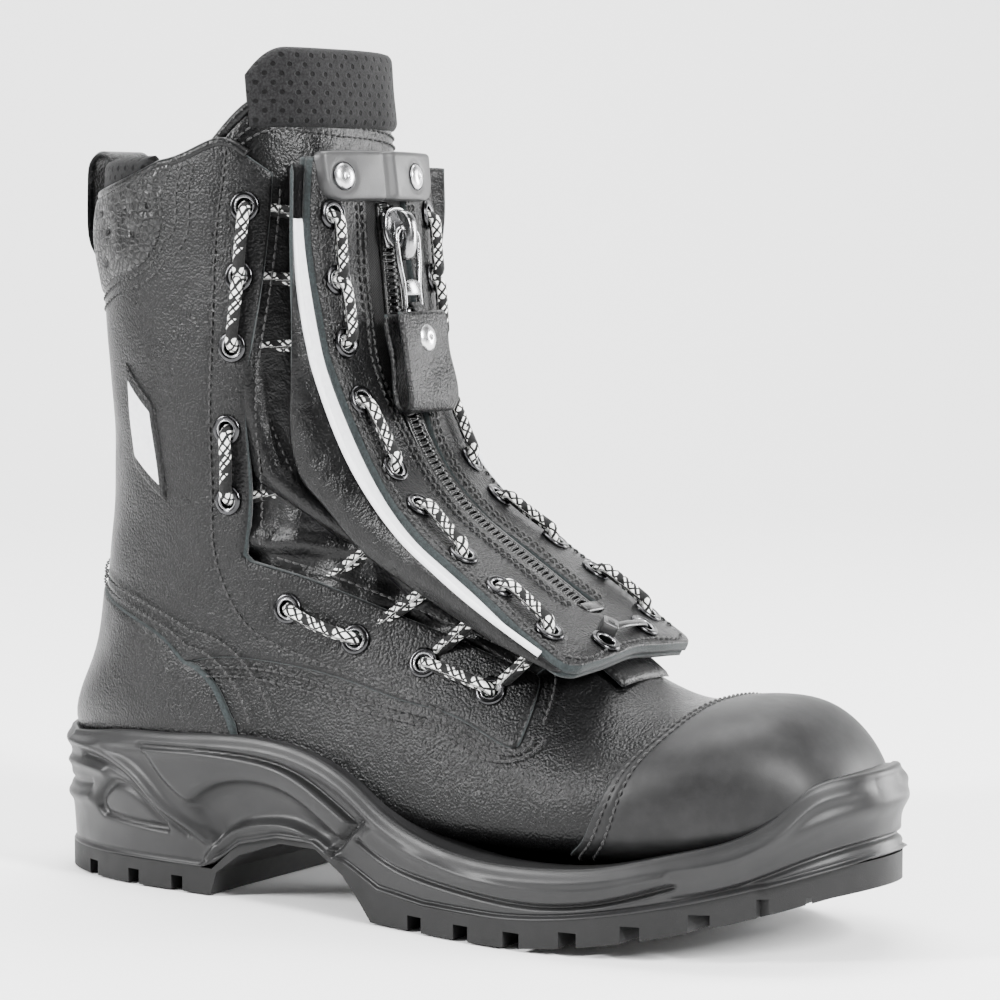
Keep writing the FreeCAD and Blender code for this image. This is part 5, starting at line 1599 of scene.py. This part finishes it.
def make_gusset(side, side_name):
    """Thin folded leather between the quarter's edge and the tongue."""
    rows = 120
    cols = 44
    v = np.linspace(0, 1, rows)[:, None]
    u = np.linspace(0, 1, cols)[None]
    t = 0.98 + 9.3 * v + 0 * u
    low = np.interp(t[:, 0], [0.9, 4.5, 6, 8, 10.3], [40, 50, 34, 20, 14])[:, None]
    high = np.interp(t[:, 0], [0.9, 2, 4, 5.8, 6.4, 7.2, 8.5, 10.3], [70, 78, 92, 98, 88, 74, 60, 50])[:,
        None]
    phi = (low + (high - low) * u)
    off = -4.6 + 0 * phi
    base = foot_point(t, side * phi, off)
    flat = base.reshape(-1, 3)
    crumple = ripple(flat, 41 + side, (9, 26), 22).reshape(rows, cols)
    folds = np.sin((t * 2.6 + phi * 0.055 + 0.4 * np.sin(t * 3.1)) * 2.4)
    deep = np.clip((t - 4.6) / 1.0, 0, 1)
    off = off + (0.35 + 0.9 * deep) * crumple * 0.9 + 1.5 * deep * np.maximum(folds, -0.4)
    off = off + 1.2 * deep
    grid = foot_point(t, side * phi, off)
    sheet("gusset_leather_" + side_name, grid, 1.2, [M_SOFT, M_EDGE], "soft_leather", bevel=0.7,
          stands_for=["gusset_" + side_name])


def puff(obj, push=4.0, limit_mm=2.2, voxel_mm=4.5):
    """Lets air pressure round the pad out as sewn cloth would, then smooths it."""
    mesh = obj.data
    start = np.array([v.co for v in mesh.vertices])
    work = bpy.data.objects.new(obj.name + "_work", mesh.copy())
    bpy.context.scene.collection.objects.link(work)
    shrink = work.modifiers.new("remesh", "REMESH")
    shrink.mode = "VOXEL"
    shrink.voxel_size = voxel_mm * MM
    bpy.context.view_layer.update()
    graph = bpy.context.evaluated_depsgraph_get()
    cage = bpy.data.meshes.new_from_object(work.evaluated_get(graph))
    bpy.data.objects.remove(work)
    soft = bpy.data.objects.new(obj.name + "_cage", cage)
    bpy.context.scene.collection.objects.link(soft)
    before = np.array([v.co for v in cage.vertices])
    cloth = soft.modifiers.new("cloth", "CLOTH")
    cloth.settings.use_pressure = True
    cloth.settings.uniform_pressure_force = push
    cloth.settings.effector_weights.gravity = 0.0
    cloth.settings.quality = 6
    cloth.settings.tension_stiffness = 30
    cloth.settings.compression_stiffness = 30
    cloth.settings.bending_stiffness = 1.0
    cloth.point_cache.frame_start = 1
    cloth.point_cache.frame_end = 20
    scene = bpy.context.scene
    for frame_number in range(1, 21):
        scene.frame_set(frame_number)
        graph = bpy.context.evaluated_depsgraph_get()
        graph.update()
    done = soft.evaluated_get(graph)
    after = np.array([v.co for v in done.data.vertices])
    scene.frame_set(1)
    moved = after - before
    size = np.linalg.norm(moved, axis=1)
    share = np.minimum(1.0, limit_mm * MM / np.maximum(size, 1e-9))
    moved = np.where(np.isfinite(moved), moved * share[:, None], 0)
    tree = KDTree(len(before))
    for k, p in enumerate(before):
        tree.insert(p, k)
    tree.balance()
    result = start.copy()
    for k, p in enumerate(start):
        near = tree.find_n(p, 6)
        weight = np.array([1 / (d + 0.0005) for _, _, d in near])
        result[k] = p + (moved[[n for _, n, _ in near]] * weight[:, None]).sum(0) / weight.sum()
    mesh.vertices.foreach_set("co", result.ravel())
    mesh.update()
    bpy.data.objects.remove(soft)


def pad_sheet(name, t_rows, phi_cols, off, thick, material, slot, stands_for, corner=0.0, wave=0.4):
    rows = len(t_rows)
    cols = len(phi_cols)
    t = np.repeat(t_rows[:, None], cols, 1)
    phi = np.repeat(phi_cols[None], rows, 0)
    if corner:
        middle = (phi_cols[0] + phi_cols[-1]) / 2
        reach = np.abs(phi - middle) / (phi_cols[-1] - middle)
        t = t_rows[-1] + (t - t_rows[-1]) * (1 - corner * np.clip((reach - 0.55) / 0.45, 0, 1) ** 2.2)
    base = foot_point(t, phi, off)
    extra = wave * ripple(base.reshape(-1, 3), 51, (16, 45), 12).reshape(rows, cols)
    grid = foot_point(t, phi, off + extra)
    made = sheet(name, grid, thick, [material], slot, bevel=thick * 0.5, stands_for=stands_for, bulge=1.0)
    puff(made)
    return made


def make_pads():
    pad_sheet("tongue_pad_mesh", np.linspace(0.235, 0.80, 34), np.linspace(-60, 57, 110), -3.6, 7.0, M_MESH,
              "mesh_fabric",
              ["tongue_pad"], corner=0.32)
    pad_sheet("collar_pad_mesh", np.linspace(0.965, 2.3, 50), np.linspace(97, 263, 150), -5.0, 8.0, M_MESH,
              "mesh_fabric",
              ["collar_pad"], wave=0.5)


make_tongue()
make_pads()
for side, side_name in ((1, "lateral"), (-1, "medial")):
    make_gusset(side, side_name)


# ---------------------------------------------------------------- collar binding and pull loop

def make_binding():
    """Rolled leather edge along the collar."""
    parts = Parts()
    near = smooth([(1.36, 180), (1.36, 150), (1.33, 128), (1.04, 88), (0.93, 77.5), (0.90, 68),
                   (1.01, 58.5)], 1.0)
    for mirror in (1, -1):
        phi = near[:, 1] if mirror > 0 else 360 - near[:, 1]
        path = foot_point(near[:, 0] - 0.005, phi, -0.5)
        keep = np.r_[True, np.linalg.norm(np.diff(path, axis=0), axis=1) > 0.05]
        path = path[keep]
        points, faces, uv = tube(path, 1.75, around=12)
        parts.add(points, faces)
    parts.build("collar_binding", [M_SOFT], slot="soft_leather")


def make_pull_loop():
    """Leather loop sewn to the back of the collar."""
    line = smooth([(-142.6, 206), (-144.5, 212), (-149.5, 219), (-151.5, 231), (-151.2, 243), (-149.4, 250.2),
                   (-145.6, 252.2), (-141.6, 250), (-140.2, 244), (-139.6, 234)], 1.2)
    rows = len(line)
    y = np.linspace(-12.3, 12.3, 14)
    grid = np.zeros((rows, len(y), 3))
    grid[..., 0] = line[:, 0][:, None] + 0.006 * (y ** 2)[None] * np.clip((line[:, 1] - 208) / 10, 0, 1)[:,
        None] * 0.5
    grid[..., 1] = y[None]
    grid[..., 2] = line[:, 1][:, None]
    sheet("pull_loop_leather", grid, 2.2, [M_LEATHER, M_EDGE], "grain_leather", bevel=0.8,
          stands_for=["pull_loop"])


make_binding()
make_pull_loop()


# ---------------------------------------------------------------- clips and rivets

def make_clips():
    """Two interlocking halves over the zip's top end, each held by a rivet."""
    for side, side_name, inner, outer in ((-1, "lateral", 4.3, 33.0), (1, "medial", -3.7, 28.0)):
        width = outer - inner
        runs = [[(0.2, inner), (0.2, outer - 2)], [(0.2, outer - 2), (0.9, outer - 0.5), (2.4, outer)],
                [(2.4, outer), (10.6, outer - 0.4)],
                [(10.6, outer - 0.4), (15.0, outer - 2.4), (17.0, outer - 6.4)],
                [(17.0, outer - 6.4), (17.1, inner)], [(17.1, inner), (0.2, inner)]]
        outline = closed([[(s, side * y) for s, y in run] for run in runs])
        rivet = circle((8.9, side * (inner + width * (0.70 if side < 0 else 0.60))), 5.0, 40)
        step = -1.9 if side > 0 else 0.0

        def clip_shape(flat, side=side, inner=inner, step=step):
            """The medial half drops where it runs under the catch of the other."""
            d = flat[:, 1] * side - inner
            return step * np.clip((5.2 - d) / 3.4, 0, 1)

        panel("clip_half_" + side_name, outline, insert_leaf, 3.3, 0.1, [M_CLIP, M_CLIP], "clip_plastic",
              bevel=0.9,
              grid=1.2, grooves=[(rivet, 0.7, 0.35)], skirt=0.4, shape=clip_shape,
              stands_for=["clip_" + side_name])
    parts = Parts()
    for y in (-24.6, 15.5):
        spot = np.array([[8.9, y]])
        centre = insert_leaf(spot, np.array([3.3]))[0]
        out = surface_normal(insert_leaf, spot, 3.3)[0]
        points, faces = lathe([(0.04, 1.25), (1.6, 1.2), (3.0, 0.95), (3.9, 0.55), (4.35, 0.1), (4.3, -0.4),
                               (0.04, -0.4)],
                              centre, out, 40)
        parts.add(points, faces)
        points, faces = lathe([(4.3, -0.3), (4.42, 0.2), (4.75, 0.2), (4.9, -0.3)], centre, out, 40)
        parts.add(points, faces, mark=1)
    parts.build("clip_rivet_heads", [M_STEEL, M_GUNMETAL], slot="bright_steel", stands_for=["clip_rivets"])


make_clips()


# ---------------------------------------------------------------- slider, puller and strap

SLIDER_RUN = 27.0
BAIL = 6.4
HINGE = 28.1
LEAN = 4.0


def local_tube(parts, s, path, radius, mark=0, up=None, flat=1.0, is_closed=False, around=12):
    frame_axes = zip_frame(s)
    lift = None if up is None else frame_axes @ np.array(up, float)
    points, faces, uv = tube(at_zip(s, path), radius, around=around, up=lift, flat=flat, is_closed=is_closed)
    parts.add(points, faces, mark=mark)


def slab(outline, low, high, bevel=0.5):
    """Closed rounded slab from a local outline (along, across)."""
    loop = np.array(outline, float)
    n = len(loop)
    centre = loop.mean(0)
    rows = []
    for z, inset in ((low, bevel), (low + bevel, 0), (high - bevel, 0), (high - bevel * 0.3, bevel * 0.35),
                     (high, bevel)):
        away = loop - centre
        length = np.linalg.norm(away, axis=1)[:, None]
        rows.append(np.concatenate([loop - away / length * inset, np.full((n, 1), z)], 1))
    points = np.concatenate(rows)
    faces = [(i * n + j, i * n + (j + 1) % n, (i + 1) * n + (j + 1) % n, (i + 1) * n + j)
             for i in range(4) for j in range(n)]
    faces.append(tuple(range(n))[::-1])
    faces.append(tuple(4 * n + j for j in range(n)))
    return points, faces


def oval(half_a, half_b, centre=0.0, power=2.0, count=48):
    a = np.linspace(0, 2 * math.pi, count, endpoint=False)
    ca = np.cos(a)
    sa = np.sin(a)
    return np.stack([centre + half_a * np.sign(ca) * np.abs(ca) ** (2 / power),
                     half_b * np.sign(sa) * np.abs(sa) ** (2 / power)], 1)


def make_slider():
    parts = Parts()
    points, faces = slab(oval(6.9, 7.4, -0.6, 2.3), 1.9, 3.2, 0.5)
    parts.add(at_zip(SLIDER_RUN, points), faces)
    rim = np.column_stack([oval(6.6, 7.1, -0.6, 2.3), np.full(48, 3.0)])
    local_tube(parts, SLIDER_RUN, rim, 0.55, is_closed=True)
    for side in (-1, 1):
        wall = np.array([(-5.6, side * 5.3, 1.3), (-1.0, side * 5.6, 1.2), (3.0, side * 5.0, 1.2),
                         (6.0, side * 4.4, 1.3)])
        local_tube(parts, SLIDER_RUN, smooth(wall, 1.0), 0.75)
    side_view = smooth([(-6.2, 2.4), (-6.3, 5.6), (-4.6, 8.4), (-1.0, 9.6), (4.0, 9.4), (8.4, 8.0),
                        (10.6, 5.8), (10.4, 3.9),
                        (8.0, 3.0)], 0.8)
    points, faces = slab(side_view, -2.1, 2.1, 0.6)
    local = np.stack([points[:, 0], points[:, 2], points[:, 1]], 1)
    parts.add(at_zip(SLIDER_RUN, local), faces)
    return parts.build("zip_slider_cast", [M_PULLER], body="slider", slot="slider_metal",
                       stands_for=["zip_slider"])


def make_puller():
    """Cast puller: two tapering arms, a cross bar and a square eye for the strap."""
    parts = Parts()
    for side in (-1, 1):
        arm = smooth([(0.0, side * 3.2, BAIL), (1.5, side * 5.6, BAIL), (6.0, side * 6.3, BAIL),
                      (13.0, side * 5.6, BAIL),
                      (20.4, side * 4.4, BAIL), (24.0, side * 4.5, BAIL), (HINGE + 0.8, side * 4.5, BAIL)],
                      1.0)
        local_tube(parts, SLIDER_RUN, arm, 1.05, up=(0, 0, 1), flat=0.85)
    local_tube(parts, SLIDER_RUN, [(0, -3.6, BAIL), (0, 0, BAIL), (0, 3.6, BAIL)], 0.9)
    plate = [(18.6, -4.6), (20.8, -4.7), (22.6, -4.6), (22.6, 4.6), (20.8, 4.7), (18.6, 4.6), (17.4, 2.4),
             (17.0, 0), (17.4, -2.4)]
    points, faces = slab(plate, BAIL - 0.85, BAIL + 0.85, 0.4)
    parts.add(at_zip(SLIDER_RUN, points), faces)
    local_tube(parts, SLIDER_RUN, [(HINGE, -4.7, BAIL), (HINGE, 0, BAIL), (HINGE, 4.7, BAIL)], 1.0)
    return parts.build("zip_puller_cast", [M_PULLER], body="puller", slot="slider_metal",
                       stands_for=["zip_puller"])


def strap_point(a, y, h):
    """Strap place: a below the hinge along the strap, y across, h out of it."""
    lean = math.radians(LEAN)
    along = HINGE + a * math.cos(lean) - h * math.sin(lean)
    out = BAIL + a * math.sin(lean) + h * math.cos(lean)
    return at_zip(SLIDER_RUN, np.stack(np.broadcast_arrays(along, y, out), -1))


def make_strap():
    """Leather strip folded at the bottom; a narrow tongue of it passes round the puller's end bar."""
    flank = smooth([(0.2, 3.0), (5, 3.3), (14, 2.9), (22, 3.1), (28, 3.2), (31.6, 2.5), (33.4, 0.2),
                    (32.4, -1.9),
                    (28.5, -3.0), (22, -2.9), (14, -2.7), (5, -2.9), (0.2, -2.6)], 0.9)
    a = flank[:, 0]
    half = np.interp(a, [0, 3.0, 12, 26, 34], [13.0, 13.9, 14.2, 14.4, 14.2])
    u = np.linspace(-1, 1, 26)
    y = half[:, None] * u[None]
    h = np.repeat(flank[:, 1][:, None], len(u), 1)
    h = h + 0.35 * np.sin(a[:, None] * 0.23 + u[None] * 2.2)
    grid = strap_point(np.repeat(a[:, None], len(u), 1), y, h)
    sheet("puller_strap_leather", grid, 1.9, [M_LEATHER, M_EDGE], "grain_leather", bevel=0.6, body="strap",
          stands_for=["puller_strap"])
    loop = smooth([(6, 1.6), (2.5, 2.3), (0, 2.45), (-1.9, 1.7), (-2.5, 0), (-1.9, -1.6), (0, -2.2),
                   (6, -1.6)], 0.6)
    u = np.linspace(-3.1, 3.1, 8)
    neck = strap_point(np.repeat(loop[:, 0][:, None], len(u), 1), np.repeat(u[None], len(loop), 0),
                       np.repeat(loop[:, 1][:, None], len(u), 1))
    sheet("puller_strap_neck", neck, 1.6, [M_LEATHER, M_EDGE], "grain_leather", bevel=0.5, body="strap")
    parts = Parts()
    frame_axes = zip_frame(SLIDER_RUN)
    lean = math.radians(LEAN)
    out = frame_axes @ np.array([-math.sin(lean), 0, math.cos(lean)])
    centre = strap_point(np.array([9.4]), np.array([0.0]), np.array([4.15]))[0]
    points, faces = lathe([(0.04, 1.5), (1.8, 1.42), (3.3, 1.05), (4.2, 0.5), (4.75, 0.0), (4.6, -0.5),
                           (0.04, -0.5)],
                          centre, out, 40)
    parts.add(points, faces)
    back = strap_point(np.array([9.4]), np.array([0.0]), np.array([-3.8]))[0]
    points, faces = lathe([(0.04, 0.7), (2.4, 0.65), (3.5, 0.2), (3.5, -0.3), (0.04, -0.3)], back, -out, 32)
    parts.add(points, faces)
    parts.build("strap_rivet_head", [M_STEEL], body="strap", slot="bright_steel", stands_for=["strap_rivet"])


make_slider()
make_puller()
make_strap()


# ---------------------------------------------------------------- cable tie and throat tab

def make_tie():
    parts = Parts()
    points, faces = block((5.6, 5.8, 4.2), 0.7, np.zeros(3))
    points = points @ np.array([(0.8, 0.6, 0), (-0.6, 0.8, 0), (0, 0, 1.0)])
    parts.add(at_zip(198.8, points + [0, -8.1, 2.0]), faces)
    points, faces = block((2.4, 2.4, 0.8), 0.25, np.zeros(3))
    points = points @ np.array([(0.8, 0.6, 0), (-0.6, 0.8, 0), (0, 0, 1.0)])
    parts.add(at_zip(198.8, points + [0, -8.1, 4.2]), faces)
    path = smooth([(0.6, -6, 1.6), (0.8, -2, 2.3), (0.9, 3, 2.5), (1.0, 8, 2.2), (0.9, 12.5, 1.6),
                   (0.8, 15, 0.4), (0.7, 16, -2.5)], 0.8)
    local_tube(parts, 198.8, path, 1.5, up=(0, 0, 1), flat=0.42)
    parts.build("cable_tie_nylon", [M_TIE], slot="tie_plastic", stands_for=["cable_tie"])


def make_throat():
    s = np.linspace(192, 216.5, 18)
    y = np.linspace(-15, 15, 20)
    drop = -6.8 - 0.004 * np.clip(s - 205, 0, 20)[:, None] ** 2 - 0.004 * (y ** 2)[None]
    grid = zip_point(np.repeat(s[:, None], len(y), 1), np.repeat(y[None], len(s), 0),
                     drop + 0.001 * (y ** 2)[None])
    sheet("throat_tab_leather", grid, 2.4, [M_SOFT, M_EDGE], "soft_leather", bevel=0.9,
          stands_for=["throat_tab"])


make_tie()
make_throat()


# ---------------------------------------------------------------- CAD pieces that stay

KEPT = {
    "outsole": M_RUBBER, "shank": M_STEEL, "puncture_plate": M_LINING, "insole_board": M_LINING,
    "footbed": M_LINING, "safety_toe_cap": M_CLIP, "heel_counter": M_CLIP, "shaft_foam": M_LINING,
    "lining": M_LINING,
}
for obj in list(bpy.data.objects):
    name = obj.name.split(".")[0]
    if obj.type == "MESH" and name in KEPT:
        for slot_of in obj.material_slots:
            slot_of.link = "OBJECT"
            slot_of.material = KEPT[name]
